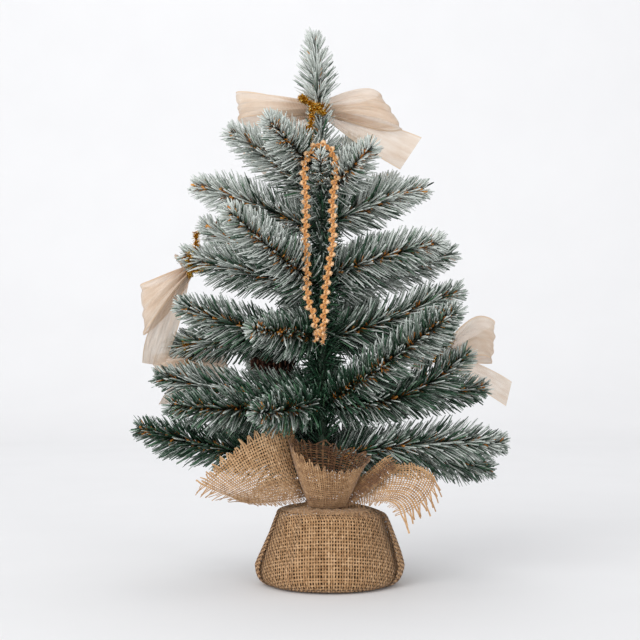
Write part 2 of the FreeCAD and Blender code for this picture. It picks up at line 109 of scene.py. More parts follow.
class Shape:
    """Vertices and faces gathered from several parts before they become one mesh.

    Each vertex also carries named values, which its material reads."""

    def __init__(self, *value_names):
        self.vertices = []
        self.faces = []
        self.slots = []
        self.values = {name: [] for name in value_names}
        self.count = 0

    def add(self, vertices, faces, slot=0, **values):
        vertices = np.asarray(vertices, float).reshape(-1, 3)
        for rows in faces:
            self.faces.append(np.asarray(rows) + self.count)
            self.slots.append(np.full(len(rows), slot))
        for name, kept in self.values.items():
            kept.append(np.broadcast_to(np.ravel(values.get(name, 0.0)), len(vertices)))
        self.vertices.append(vertices)
        self.count += len(vertices)

    def build(self, name, materials, body, node_names=()):
        """Make the mesh object, in metres from millimetres, riding on a CAD body."""
        mesh = bpy.data.meshes.new(name)
        corners = np.concatenate([rows.ravel() for rows in self.faces])
        sizes = np.concatenate([np.full(len(rows), rows.shape[1]) for rows in self.faces])
        mesh.vertices.add(self.count)
        mesh.vertices.foreach_set("co", (np.concatenate(self.vertices) * MM).astype(np.float32).ravel())
        mesh.loops.add(len(corners))
        mesh.loops.foreach_set("vertex_index", corners.astype(np.int32))
        mesh.polygons.add(len(sizes))
        starts = np.concatenate([[0], np.cumsum(sizes)[:-1]])
        mesh.polygons.foreach_set("loop_start", starts.astype(np.int32))
        mesh.polygons.foreach_set("material_index", np.concatenate(self.slots).astype(np.int32))
        mesh.polygons.foreach_set("use_smooth", np.ones(len(sizes), bool))
        for value_name, kept in self.values.items():
            layer = mesh.attributes.new(value_name, "FLOAT", "POINT")
            layer.data.foreach_set("value", np.concatenate(kept).astype(np.float32))
        mesh.update(calc_edges=True)
        mesh.validate()
        for material in materials:
            mesh.materials.append(material)
        thing = bpy.data.objects.new(name, mesh)
        bpy.context.scene.collection.objects.link(thing)
        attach(thing, body)
        if node_names:
            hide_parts(*node_names)
        return thing


def unit(vectors):
    return vectors / np.maximum(np.linalg.norm(vectors, axis=-1, keepdims=True), 1e-9)


def grid_faces(rows, columns):
    """Four-cornered faces of a grid of vertices."""
    index = np.arange(rows * columns).reshape(rows, columns)
    corners = (index[:-1, :-1], index[:-1, 1:], index[1:, 1:], index[1:, :-1])
    return np.stack(corners, -1).reshape(-1, 4)


def add_blades(shape, roots, headings, across, lengths, widths, bends, stations, tapers, section,
               slot=0, **values):
    """Many small closed blades: needles, film bits, foil strips or scales.

    The section is a loop of corners (across, up), in widths; each blade is bent by its vector."""
    stations = np.array(stations)
    up = np.cross(headings, across)
    line = (roots[:, None] + headings[:, None] * lengths[:, None, None] * stations[None, :, None]
            + bends[:, None] * (stations ** 2)[None, :, None])
    spread = widths[:, None] * np.array(tapers)[None]
    section = np.array(section)
    offsets = (across[:, None, None] * section[None, None, :, :1]
               + up[:, None, None] * section[None, None, :, 1:]) * spread[:, :, None, None]
    vertices = line[:, :, None] + offsets
    number, levels, corners = vertices.shape[:3]
    index = np.arange(number * levels * corners).reshape(number, levels, corners)
    after = np.roll(index, -1, axis=2)
    sides = np.stack([index[:, :-1], after[:, :-1], after[:, 1:], index[:, 1:]], -1).reshape(-1, 4)
    root_caps = index[:, 0, ::-1]
    tip_caps = index[:, -1]
    spread_values = {}
    for name, value in values.items():
        value = np.asarray(value, float)
        if value.ndim == 1:
            value = value[:, None]
        spread_values[name] = np.broadcast_to(value[:, :, None], vertices.shape[:3]).ravel()
    if "along" in shape.values:
        spread_values["along"] = np.broadcast_to(stations[None, :, None], vertices.shape[:3]).ravel()
    shape.add(vertices, [sides, root_caps, tip_caps], slot, **spread_values)


def turned(first, second, angle):
    """Directions turned by an angle from the first towards the second, which is square to it."""
    return first * np.cos(angle)[:, None] + second * np.sin(angle)[:, None]


def line_length(line):
    return np.linalg.norm(np.diff(line, axis=0), axis=1).sum()


def walked_along(line):
    """How far along a line of points each of them lies."""
    return np.concatenate([[0], np.cumsum(np.linalg.norm(np.diff(line, axis=0), axis=1))])


def line_reference(line):
    """Up, or X for a line that itself runs nearly upright."""
    return (0, 0, 1) if abs(unit(line[-1] - line[0])[2]) < 0.85 else (1, 0, 0)


def line_frames(line, reference=(0, 0, 1)):
    """Unit headings of a line of points, and two directions square to them."""
    heading = unit(np.gradient(line, axis=0))
    first = unit(np.cross(heading, np.array(reference, float)))
    second = np.cross(first, heading)
    return heading, first, second


def add_tube(shape, line, radius, sides=8, reference=(0, 0, 1), slot=0, **values):
    """A round closed tube along a line of points; the radius may change along it."""
    _, first, second = line_frames(line, reference)
    turn = np.linspace(0, 2 * math.pi, sides, endpoint=False)
    ring = first[:, None] * np.cos(turn)[None, :, None] - second[:, None] * np.sin(turn)[None, :, None]
    radius = np.broadcast_to(radius, len(line))
    vertices = line[:, None] + ring * radius[:, None, None]
    index = np.arange(len(line) * sides).reshape(len(line), sides)
    after = np.roll(index, -1, axis=1)
    walls = np.stack([index[:-1], index[1:], after[1:], after[:-1]], -1).reshape(-1, 4)
    spread = {name: np.repeat(np.broadcast_to(value, len(line)), sides) for name, value in values.items()}
    shape.add(vertices, [walls, index[:1], index[-1:, ::-1]], slot, **spread)


def basis(count, degree, share):
    """Weights of a clamped B-spline's control points, one row for each share of its length."""
    knots = np.concatenate([np.zeros(degree), np.linspace(0, 1, count - degree + 1), np.ones(degree)])
    share = np.clip(share, 0, 1 - 1e-9)[:, None]
    weights = ((knots[:-1] <= share) & (share < knots[1:])).astype(float)
    for order in range(1, degree + 1):
        rise = knots[order:-1] - knots[:-order - 1]
        fall = knots[order + 1:] - knots[1:-order]
        left = np.divide(share - knots[:-order - 1], rise, out=np.zeros((len(share), len(rise))),
                         where=rise > 0)
        right = np.divide(knots[order + 1:] - share, fall, out=np.zeros((len(share), len(fall))),
                          where=fall > 0)
        weights = left * weights[:, :-1] + right * weights[:, 1:]
    return weights


def smooth_line(points, number):
    """Evenly spread points on the B-spline of some control points."""
    points = np.array(points, float)
    return basis(len(points), min(3, len(points) - 1), np.linspace(0, 1, number)) @ points


def even_line(points, spacing):
    """The line of points again, at an even spacing."""
    distance = walked_along(points)
    number = max(3, int(round(distance[-1] / spacing)) + 1)
    wanted = np.linspace(0, distance[-1], number)
    return np.stack([np.interp(wanted, distance, points[:, axis]) for axis in range(3)], 1)


# ---------------------------------------------------------------- material building


def rgb(code):
    """Linear colour of a #rrggbb code."""
    channels = [int(code[place:place + 2], 16) / 255 for place in (1, 3, 5)]
    return tuple(c / 12.92 if c < 0.04045 else ((c + 0.055) / 1.055) ** 2.4 for c in channels) + (1,)


def new_material(name, **settings):
    """A material with its plain shader; the settings are input names, in small letters, and values."""
    material = bpy.data.materials.new(name)
    material.use_nodes = True
    shader = material.node_tree.nodes["Principled BSDF"]
    for socket, value in settings.items():
        shader.inputs[socket.replace("_", " ").title().replace("Ior", "IOR")].default_value = value
    return material, material.node_tree, shader


def node(tree, kind, inputs=None, **settings):
    """Add a shader node. Each input is a number, a colour or another node's output."""
    made = tree.nodes.new(f"ShaderNode{kind}")
    for name, value in settings.items():
        setattr(made, name, value)
    for name, value in (inputs or {}).items():
        if isinstance(value, bpy.types.NodeSocket):
            tree.links.new(value, made.inputs[name])
        else:
            made.inputs[name].default_value = value
    return made


def place_of(tree, kind="Object"):
    return node(tree, "TexCoord").outputs[kind]


def noise(tree, scale, detail=3.0, place=None, rough=0.55):
    place = place or place_of(tree)
    return node(tree, "TexNoise", {"Vector": place, "Scale": scale, "Detail": detail,
                                   "Roughness": rough}).outputs["Fac"]


def bands(tree, direction, **inputs):
    """Light and dark bands that follow each other along an axis."""
    return node(tree, "TexWave", inputs, wave_type="BANDS", bands_direction=direction).outputs[1]


def value_of(tree, name):
    return node(tree, "Attribute", attribute_name=name).outputs["Fac"]


def sum_of(tree, *terms):
    """Add up terms, each an output times a number."""
    total = None
    for output, weight in terms:
        made = node(tree, "Math", {0: output, 1: weight, 2: total if total else 0.0},
                    operation="MULTIPLY_ADD")
        total = made.outputs[0]
    return total


def between(tree, value, low, high):
    """The value moved smoothly to 0 below low and 1 above high."""
    made = node(tree, "MapRange", {0: value, 1: low, 2: high}, interpolation_type="SMOOTHSTEP")
    return made.outputs[0]


def moved(tree, value, spans, to):
    """The value moved evenly from one span of numbers to another."""
    made = node(tree, "MapRange", {0: value, 1: spans[0], 2: spans[1], 3: to[0], 4: to[1]})
    return made.outputs[0]


def mixed(tree, share, first, second):
    made = node(tree, "Mix", {0: share, 6: first, 7: second}, data_type="RGBA")
    return made.outputs[2]


def ramp(tree, value, *stops):
    """Colour ramp with (place, #code) stops."""
    made = node(tree, "ValToRGB", {0: value})
    band = made.color_ramp
    band.elements[0].position, band.elements[0].color = stops[0][0], rgb(stops[0][1])
    band.elements[1].position, band.elements[1].color = stops[-1][0], rgb(stops[-1][1])
    for place, code in stops[1:-1]:
        band.elements.new(place).color = rgb(code)
    return made.outputs[0]


def finish_material(tree, shader, colour=None, roughness=None, height=None, depth=0.0003, strength=0.6):
    """Link what drives a shader: its colour, its roughness and its bump."""
    if colour is not None:
        tree.links.new(colour, shader.inputs["Base Color"])
    if roughness is not None:
        tree.links.new(roughness, shader.inputs["Roughness"])
    if height is not None:
        bump = node(tree, "Bump", {"Height": height, "Distance": depth, "Strength": strength})
        tree.links.new(bump.outputs[0], shader.inputs["Normal"])


# ---------------------------------------------------------------- materials


def needle_material():
    """Green film needles with flock frost, thickest on top, towards the tips and high in the tree."""
    material, tree, shader = new_material("frosted_needles", roughness=0.5)
    green = ramp(tree, value_of(tree, "tone"), (0, "#0f2618"), (0.4, "#21442f"), (0.75, "#345d43"),
                 (1, "#5c8663"))
    up = node(tree, "SeparateXYZ", {0: place_of(tree, "Normal")}).outputs[2]
    patches = noise(tree, 320, 3)
    grains = noise(tree, 2600, 2)
    amount = sum_of(tree, (value_of(tree, "frost"), 1.0), (up, 0.16), (value_of(tree, "along"), 0.24),
                    (patches, 0.7), (grains, 0.45))
    thickest = moved(tree, value_of(tree, "frost"), (0.1, 0.75), (0.5, 1.0))
    cover = node(tree, "Math", {0: between(tree, amount, 0.86, 1.42), 1: thickest},
                 operation="MULTIPLY").outputs[0]
    white = ramp(tree, grains, (0.3, "#bac3bb"), (0.7, "#eff3ef"))
    colour = mixed(tree, cover, green, white)
    roughness = between(tree, cover, -1.0, 1.2)
    finish_material(tree, shader, colour, roughness, sum_of(tree, (grains, 1.0), (cover, 1.0)), 0.0002, 0.7)
    return material


def grained_material(name, grain, terms, stops, depth, strength=0.6, **settings):
    """Fine noise under a colour ramp and as bump. The grain is the noise's scale and detail.

    The terms add up to the place on the ramp: a vertex value, or None for the noise, and its weight."""
    material, tree, shader = new_material(name, **settings)
    speckle = noise(tree, *grain)
    tone = sum_of(tree, *[(value_of(tree, value) if value else speckle, weight) for value, weight in terms])
    finish_material(tree, shader, ramp(tree, tone, *stops), None, speckle, depth, strength)
    return material


def film_material():
    """Curled brown film left along the wires."""
    return grained_material("brown_film", (900, 3), (("tone", 0.6), (None, 0.5)),
                            ((0.15, "#7d4a18"), (0.5, "#bd7424"), (0.8, "#dd9a48")), 0.0002, roughness=0.5)


def wire_material():
    """Twisted steel wire with a dull dark coat."""
    return grained_material("branch_wire", (1500, 4), ((None, 1.0),), ((0.3, "#2a2a1c"), (0.7, "#5a4a30")),
                            0.0001, roughness=0.55, metallic=0.4)


def steel_material():
    """Bare steel of the binding wires and the trunk rod."""
    material, tree, shader = new_material("bare_steel", metallic=1.0)
    speckle = noise(tree, 1800, 4)
    colour = ramp(tree, speckle, (0.3, "#77746c"), (0.7, "#a9a69e"))
    finish_material(tree, shader, colour, between(tree, speckle, -0.4, 1.6), speckle, 0.00005)
    return material


def tape_material():
    """Dark green florist's tape, wound on at a slant, crinkled."""
    material, tree, shader = new_material("trunk_tape", roughness=0.75)
    turns = bands(tree, "Z", Vector=place_of(tree), Scale=55.0, Distortion=1.5, Detail=2.0)
    crinkle = noise(tree, 700, 4)
    colour = ramp(tree, crinkle, (0.3, "#142317"), (0.7, "#2c4430"))
    finish_material(tree, shader, colour, None, sum_of(tree, (turns, 0.7), (crinkle, 0.5)), 0.0005)
    return material


def cement_material():
    """Cast cement with pinholes and a dusty bloom, painted dark brown as the shade seen through the burlap's
    gaps.
    """
    material, tree, shader = new_material("cement_painted_dark", roughness=1.0, specular_ior_level=0.1)
    cloud = noise(tree, 60, 5)
    grit = noise(tree, 1100, 3)
    holes = node(tree, "TexVoronoi", {"Vector": place_of(tree), "Scale": 260.0}).outputs[0]
    # Painted shade: the colour is kept near-black brown, as the shadow in the gaps of the weave.
    colour = ramp(tree, sum_of(tree, (cloud, 0.6), (grit, 0.4)), (0.3, "#1d1510"), (0.7, "#33291f"))
    pits = between(tree, holes, 0.0, 0.25)
    finish_material(tree, shader, colour, None, sum_of(tree, (grit, 0.4), (pits, 0.6)), 0.0006)
    return material


def burlap_material():
    """Jute yarn: fibres along each thread, with slubs of lighter and darker colour."""
    material, tree, shader = new_material("jute_burlap", roughness=0.85, sheen_weight=0.25,
                                          sheen_roughness=0.5)
    slubs = noise(tree, 240, 3)
    fibres = noise(tree, 3200, 3)
    cloud = noise(tree, 28, 2)
    tone = sum_of(tree, (value_of(tree, "tone"), 0.08), (slubs, 0.5), (fibres, 0.54), (cloud, 0.12))
    colour = ramp(tree, tone, (0.38, "#654228"), (0.56, "#a17a50"), (0.7, "#c19b72"), (0.9, "#e0c19c"))
    finish_material(tree, shader, colour, None, sum_of(tree, (fibres, 1.0), (slubs, 0.5)), 0.0003, 0.7)
    return material


def ribbon_material():
    """Sheer champagne ribbon: a fine plain weave between two denser woven edges, with painted shade and
    highlights along slanting creases.
    """
    material, tree, shader = new_material("sheer_ribbon", roughness=0.42, sheen_weight=0.35,
                                          sheen_roughness=0.35)
    cloth = place_of(tree, "UV")
    across = node(tree, "SeparateXYZ", {0: cloth}).outputs[1]
    from_middle = node(tree, "Math", {0: sum_of(tree, (across, 2.0)), 1: 1.0}, operation="SUBTRACT")
    edge = node(tree, "Math", {0: from_middle.outputs[0]}, operation="ABSOLUTE").outputs[0]
    hem = between(tree, edge, 0.925, 0.95)
    yarns = bands(tree, "Y", Vector=cloth, Scale=18.0, Distortion=0.4)
    picks = bands(tree, "X", Vector=cloth, Scale=60.0, Distortion=0.4)
    weave = sum_of(tree, (yarns, 0.5), (picks, 0.5))
    cloud = noise(tree, 45, 3)
    slanted = node(tree, "Mapping", {0: cloth, 2: (0, 0, 0.5), 3: (4, 7, 1)}).outputs[0]
    # Slanting crease noise: a bump, and painted shade and highlights in the colour along the creases.
    crease_shade_and_bump = noise(tree, 1.0, 1, slanted)
    tone = sum_of(tree, (cloud, 0.35), (crease_shade_and_bump, 0.4), (weave, 0.25))
    body_colour = ramp(tree, tone, (0.32, "#d9bb9d"), (0.68, "#fbf0e3"))
    colour = mixed(tree, hem, body_colour, rgb("#e6ceb4"))
    finish_material(tree, shader, colour, None, sum_of(tree, (weave, 0.05), (crease_shade_and_bump, 1.0)), 0.004, 0.7)
    glow = node(tree, "BsdfTranslucent", {"Color": colour})
    cloth_mix = node(tree, "MixShader", {0: 0.38, 1: shader.outputs[0], 2: glow.outputs[0]})
    clear = node(tree, "BsdfTransparent")
    openness = moved(tree, sum_of(tree, (weave, 0.6), (hem, 0.8)), (0.0, 0.9), (0.26, 0.02))
    whole = node(tree, "MixShader", {0: openness, 1: cloth_mix.outputs[0], 2: clear.outputs[0]})
    tree.links.new(whole.outputs[0], tree.nodes["Material Output"].inputs["Surface"])
    return material


def tinsel_material():
    """Gold foil strips that catch the light."""
    material, tree, shader = new_material("gold_tinsel", metallic=1.0)
    tone = value_of(tree, "tone")
    colour = ramp(tree, tone, (0.1, "#8a5206"), (0.5, "#e09a14"), (0.9, "#ffe080"))
    roughness = moved(tree, tone, (0.0, 1.0), (0.5, 0.22))
    finish_material(tree, shader, colour, roughness, noise(tree, 2500, 2), 0.0001)
    return material


def cord_material():
    """Orange-tan chenille cord, with a painted highlight that makes it paler where its lobes come up."""
    stops = ((0.15, "#7a4614"), (0.42, "#c17d33"), (0.62, "#dca661"), (0.85, "#f7e0ca"))
    return grained_material("chenille_cord", (2200, 3), (("tone", 0.62), (None, 0.5)), stops, 0.00025,
                            roughness=0.45, sheen_weight=0.3)


def cone_material():
    """Dark pine cone scales with worn lighter tips."""
    return grained_material("pine_cone_scales", (500, 4), (("along", 0.45), (None, 0.5), ("tone", 0.15)),
                            ((0.25, "#160a08"), (0.6, "#34190f"), (0.9, "#6d452d")), 0.0005, roughness=0.7)


def floor_material():
    """Matt white studio paper, very faintly mottled."""
    material, tree, shader = new_material("studio_paper", roughness=0.9)
    colour = ramp(tree, noise(tree, 6, 2), (0.3, "#eaeaeb"), (0.7, "#ececed"))
    finish_material(tree, shader, colour)
    return material


# ---------------------------------------------------------------- stage


def make_stage():
    """White paper that runs level under the tree and curves up behind it."""
    bend, back, width, top = 0.9, 1.6, 4.0, 3.6
    turn = np.linspace(0, math.pi / 2, 24)
    profile = [(-3.0, 0.0)] + [(back + bend * math.sin(a), bend - bend * math.cos(a)) for a in turn]
    profile.append((back + bend, top))
    rows = [[(side * width, along, up) for side in (-1, 1)] for along, up in profile]
    mesh = bpy.data.meshes.new("studio_floor")
    vertices = [corner for row in rows for corner in row]
    mesh.from_pydata(vertices, [], grid_faces(len(rows), 2).tolist())
    mesh.polygons.foreach_set("use_smooth", [True] * len(mesh.polygons))
    mesh.materials.append(floor_material())
    floor = bpy.data.objects.new("studio_floor", mesh)
    floor.location = (0, 0, -0.0004)
    bpy.context.scene.collection.objects.link(floor)


# ---------------------------------------------------------------- foliage

# Where a blade's width is set along it, the width there, and its section (across, up).
NEEDLE_STATIONS = (0, 0.4, 0.85, 1)
NEEDLE_TAPERS = (0.7, 1, 0.95, 0.6)
NEEDLE_SECTION = ((-0.5, 0), (0.5, 0), (0, 0.3))
# The same for film bits; fibres and foil strips are set at these places too.
SHORT_STATIONS = (0, 0.5, 1)
FILM_TAPERS = (0.6, 1, 0.5)
# Heights of branch tips, in millimetres, and the flock's cover on them.
FROST_BY_HEIGHT = ((100, 170, 240, 330, 400), (0.2, 0.28, 0.38, 0.68, 0.92))
# How far the flock's cover on single low branches differs from what their height gives.
UNEVEN_FROST = {"low_right": 0.2, "low_right_rear": 0.14, "low_left": -0.1, "lower_left": 0.06}
WIRE_STEP = 1.2
# What is left of a needle that would stand in the burlap.
PRESSED_SHARE = 0.25
# Material slots of a tuft.
NEEDLE_SLOT, FILM_SLOT, WIRE_SLOT = range(3)


def node_points(name):
    """The vertices of a CAD node, in millimetres."""
    mesh = frame["nodes"][name].data
    points = np.zeros(len(mesh.vertices) * 3, np.float32)
    mesh.vertices.foreach_get("co", points)
    return points.reshape(-1, 3).astype(float) / MM


def branch_line(name):
    """The centreline of a branch: its CAD mesh lies evenly round an arc in an upright plane."""
    start = np.array(JOINTS[f"{name}_bend"]["pos_m"]) / MM
    out = unit(np.array([start[0], start[1], 0.0]))
    points = node_points(name) - start
    flat = np.stack([points @ out, points[:, 2]], 1)
    chord = unit(flat[np.argmax(np.linalg.norm(flat, axis=1))])
    square = np.array([-chord[1], chord[0]])
    bend = np.polyfit(flat @ chord, flat @ square, 2)
    steps = np.linspace(0, (flat @ chord).max(), 60)
    line = steps[:, None] * chord + (np.polyval(bend, steps) - bend[2])[:, None] * square
    return start + line[:, :1] * out + line[:, 1:] * np.array([0, 0, 1.0])


def along_line(line, distance):
    """Points, headings and two square directions at distances along a line."""
    walked = walked_along(line)
    frames = (line,) + line_frames(line, line_reference(line))
    return [np.stack([np.interp(distance, walked, part[:, axis]) for axis in range(3)], 1)
            for part in frames]


def stand_out(line, distance, turn, angle):
    """Roots on a line, its headings there, the way straight out at each turn, and the way at the angle."""
    root, heading, first, second = along_line(line, distance)
    side = turned(first, second, turn)
    return root, heading, side, turned(heading, side, angle)


def in_cuff(points):
    """Whether points lie in the open cuff of the burlap, where needles are pressed short."""
    middle, radius, top = (4, -27), 38, 138
    return (points[:, 2] < top) & (np.hypot(points[:, 0] - middle[0], points[:, 1] - middle[1]) < radius)


def add_needles(shape, line, random, density, length, spread, frost, taper=48.0):
    """Needles all round a shoot. The spread is their angle from it, in degrees, at root and tip.

    Over the last stretch, as long as the taper, they get shorter, so that the shoot ends in a point."""
    total = line_length(line)
    number = int(density * (total - 1))
    distance = (np.arange(number) + random.random(number)) / number * (total - 1)
    turn = np.arange(number) * GOLDEN_TURN + random.normal(0, 0.35, number)
    angle = np.radians(spread[0] + (spread[1] - spread[0]) * distance / total
                       + random.normal(0, 3.5, number))
    root, heading, side, way = stand_out(line, distance, turn, angle)
    lengths = length * random.uniform(0.85, 1.08, number)
    if taper:
        lengths *= 0.3 + 0.7 * np.clip((total - distance) / taper, 0, 1) ** 0.75
    lengths *= np.where(in_cuff(root + way * lengths[:, None]), PRESSED_SHARE, 1)
    across = unit(np.cross(way, side) + 0.7 * random.normal(0, 1, (number, 3)))
    across = unit(across - way * np.sum(across * way, axis=1, keepdims=True))
    bends = heading * random.normal(1.6, 1.0, (number, 1)) + random.normal(0, 0.65, (number, 3))
    tone = np.clip(random.normal(0.45, 0.28, number), 0, 1)
    uneven = random.normal(0, 0.14 + 0.2 * frost, number)
    flock = np.clip(frost * (0.55 + 0.65 * distance / total) + uneven, 0, 1.2)
    add_blades(shape, root + side * 0.6, way, across, lengths, random.uniform(1.35, 2.0, number), bends,
               NEEDLE_STATIONS, NEEDLE_TAPERS, NEEDLE_SECTION, NEEDLE_SLOT, tone=tone, frost=flock)


def add_film(shape, line, random, density):
    """Short brown film bits that stand out along the wire."""
    total = line_length(line)
    number = int(density * total)
    distance = random.uniform(4, total - 3, number)
    turn = random.uniform(0, 2 * math.pi, number)
    angle = np.radians(random.uniform(25, 70, number))
    root, _, side, way = stand_out(line, distance, turn, angle)
    across = unit(np.cross(way, side))
    add_blades(shape, root + side * random.uniform(0.8, 3.0, (number, 1)), way, across,
               random.uniform(4, 8, number), random.uniform(1.8, 3.2, number),
               random.normal(0, 1.0, (number, 3)), SHORT_STATIONS, FILM_TAPERS, NEEDLE_SECTION, FILM_SLOT,
               tone=random.random(number))


def add_wires(shape, line, pitch=5.0, radius=0.5):
    """Two strands of wire twisted round each other."""
    fine = even_line(line, WIRE_STEP)
    _, first, second = line_frames(fine, line_reference(line))
    turn = np.arange(len(fine)) * WIRE_STEP * 2 * math.pi / pitch
    for phase in (0, math.pi):
        offset = turned(first, second, turn + phase)
        add_tube(shape, fine + offset * radius * 0.8, radius, 5, (0.2, 0.1, 1), WIRE_SLOT)


def wiggled(line, random, amount):
    """A line with a slow random wander that is zero at its root."""
    share = np.linspace(0, 1, len(line))
    wander = np.zeros_like(line)
    for waves in (1, 2, 3):
        wave = np.sin(waves * math.pi * share * 1.3) * share ** 0.5
        wander += wave[:, None] * random.normal(0, amount / waves, 3)
    return line + wander


def make_foliage(materials):
    """Every branch as its own tuft of needles, film and wire, then the trunk's and the leader's."""
    branches = [name.removesuffix("_bend") for name in JOINTS if name.endswith("_bend")]
    for index, name in enumerate(branches):
        random = np.random.default_rng(100 + index)
        line = wiggled(branch_line(name), random, 0.9)[:-3]
        height = line[-1, 2]
        frost = np.interp(height, *FROST_BY_HEIGHT) + UNEVEN_FROST.get(name, 0)
        shape = Shape("along", "tone", "frost")
        length = 15 if name == "top_front" else 27
        add_needles(shape, line, random, 4.7, length, (60, 46), frost)
        add_film(shape, line, random, 1.2)
        add_wires(shape, line)
        shape.build(f"{name}_foliage", materials, f"{name}_branch", [name])
    random = np.random.default_rng(90)
    shape = Shape("along", "tone", "frost")
    wrap_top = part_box("trunk_wrap")[1].z / MM
    trunk = np.linspace((0, 0, 122), (0, 0, wrap_top), 40)
    for start, stop, frost in ((0, 6, 0.0), (5, 14, 0.0), (13, 27, 0.15), (26, 40, 0.5)):
        for spread in ((62, 56), (112, 104)) if start else ((50, 46),):
            add_needles(shape, trunk[start:stop], random, 3.4, 22, spread, frost, taper=0)
    shape.build("trunk_foliage", materials, "trunk", ())
    shape = Shape("along", "tone", "frost")
    points = node_points("leader_shoot")
    top = points[points[:, 2] > points[:, 2].max() - 1].mean(axis=0)
    foot = points[points[:, 2] < points[:, 2].min() + 1].mean(axis=0)
    leader = wiggled(np.linspace(foot, top, 40), random, 0.5)[:-3]
    add_needles(shape, leader[:18], random, 4.0, 15, (62, 50), 0.95, taper=0)
    add_needles(shape, leader[14:], random, 4.1, 26, (62, 38), 1.2, taper=64)
    add_film(shape, leader, random, 0.3)
    add_wires(shape, leader)
    shape.build("leader_foliage", materials, "trunk", ["leader_shoot"])


# ---------------------------------------------------------------- garland cord

CORD_STEP = 0.45
FIBRE_TAPERS = (1, 0.9, 0.5)
FIBRE_SECTION = ((-0.5, 0), (0.5, 0), (0, 0.6))
# How far the cord's yarn swings forward and back, in millimetres.
LOBE_DEPTH = 0.9
# The cord's centreline: along X and up, in metres, in the plane (a Y) that it hangs in.
LOOP_PLANE = -0.038
LOOP_ROUTE = (
    (-0.0058, 0.2300), (-0.0058, 0.2390), (-0.0135, 0.2530), (-0.0130, 0.2810), (-0.0152, 0.3080),
    (-0.0134, 0.3410), (-0.0166, 0.3670), (-0.0130, 0.3820), (-0.0050, 0.3905), (0.0045, 0.3900),
    (0.0115, 0.3795), (0.0128, 0.3630), (0.0084, 0.3410), (0.0104, 0.3080), (0.0054, 0.2810),
    (0.0026, 0.2560), (0.0018, 0.2430), (0.0018, 0.2300),
)


def route_points(name, points):
    """Points read from the NURBS spline of a route, in metres."""
    curve = bpy.data.curves.new(name, "CURVE")
    curve.dimensions = "3D"
    curve.resolution_u = 24
    spline = curve.splines.new("NURBS")
    spline.points.add(len(points) - 1)
    for point, place in zip(spline.points, points):
        point.co = (*place, 1)
    spline.use_endpoint_u = True
    spline.order_u = 3
    holder = bpy.data.objects.new(name, curve)
    bpy.context.scene.collection.objects.link(holder)
    bpy.context.view_layer.update()
    mesh = bpy.data.meshes.new_from_object(holder)
    line = np.array([vertex.co for vertex in mesh.vertices])
    bpy.data.objects.remove(holder)
    bpy.data.meshes.remove(mesh)
    return line


def add_lobed_cord(shape, line, random, swing=2.6, period=8.4, yarn=1.3):
    """A ric-rac cord: a chenille yarn that swings from side to side in plump lobes round a thin core."""
    fine = even_line(line, CORD_STEP)
    _, across, deep = line_frames(fine, (0, 1, 0))
    turn = 2 * math.pi * np.arange(len(fine)) * CORD_STEP / period
    # Painted highlight on the lobes: the yarn's tone is raised where it swings out.
    out = np.clip(np.sin(turn), 0, 1)
    lobes = across * (swing * np.sin(turn))[:, None] + deep * (LOBE_DEPTH * np.cos(turn))[:, None]
    add_tube(shape, fine, 0.8, 8, (0, 1, 0), tone=0.15)
    # The yarn, then a thinner and darker one that swings less, the other way.
    for reach, thickness, light in ((1.0, 1.0, 0.1), (-0.4, 0.6, 0.0)):
        radius = yarn * (0.5 + 0.62 * np.abs(np.sin(turn))) * (1 + random.normal(0, 0.05, len(fine)))
        add_tube(shape, fine + lobes * reach, radius * thickness, 8, (0, 1, 0),
                 tone=0.3 + 0.35 * out + light)
    number = int(len(fine) * 5)
    place = random.integers(0, len(fine), number)
    around = random.uniform(0, 2 * math.pi, number)
    way = turned(across[place], deep[place], around)
    root = fine[place] + lobes[place] + way * 0.8
    tangle = unit(way + 0.7 * random.normal(0, 1, (number, 3)))
    side_way = unit(np.cross(tangle, random.normal(0, 1, (number, 3))))
    add_blades(shape, root, tangle, side_way, random.uniform(1.0, 2.1, number),
               random.uniform(0.3, 0.65, number), random.normal(0, 0.3, (number, 3)), SHORT_STATIONS,
               FIBRE_TAPERS, FIBRE_SECTION, tone=np.clip(random.normal(0.6, 0.3, number), 0, 1.1))


def make_garland(material):
    """The loop of cord hung over the front shoot, its two ends tied in a knot below."""
    route = [(along, LOOP_PLANE, up) for along, up in LOOP_ROUTE]
    path = route_points("loop_route", route)
    random = np.random.default_rng(7)
    shape = Shape("tone")
    add_lobed_cord(shape, path / MM, random)
    cord = shape.build("garland_cord", [material], "garland", ["garland_loop_cord"])
    knot = make_garland_knot(material)


def make_garland_knot(material):
    """A tight overhand knot in the doubled cord, with two short frayed ends."""
    low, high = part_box("garland_loop_knot")
    middle = (np.array(low) + np.array(high)) / 2 / MM
    shape = Shape("tone")
    random = np.random.default_rng(8)
    turn = np.linspace(0, 2 * math.pi * 1.25, 40)
    for tilt, lift in ((0.5, 1.6), (-0.5, -1.4)):
        ring = np.stack([3.4 * np.cos(turn), 3.0 * np.sin(turn), lift + tilt * 2.2 * np.cos(turn)], 1)
        add_lobed_cord(shape, middle + ring, random, 0.9, 4.2, 1.2)
    for side, drop in ((-3.0, 8), (2.6, 10)):
        end = smooth_line([(side * 0.5, 0, 2), (side * 0.7, -1, -2), (side * 1.2, -1, -5),
                           (side * 1.1, 0, -drop)], 30)
        add_lobed_cord(shape, middle + end, random, 1.4, 6.0, 0.9)
    return shape.build("garland_knot", [material], "garland", ["garland_loop_knot"])


# ---------------------------------------------------------------- woven burlap

# Threads per cloth, in millimetres: their pitch each way, their width, and how far they weave up and down.
WARP_PITCH = 2.4
WEFT_PITCH = 3.0
THREAD_WIDTH = 1.38
THREAD_LIFT = 0.42
# Loose ends cling together, this part of a bunch to each thread.
LOOSE_BUNCH = 0.34
# A cloth with no painted shade: the places across it, and how much darker its yarn is painted there.
NO_PAINTED_SHADE = ((0,), (0.0,))


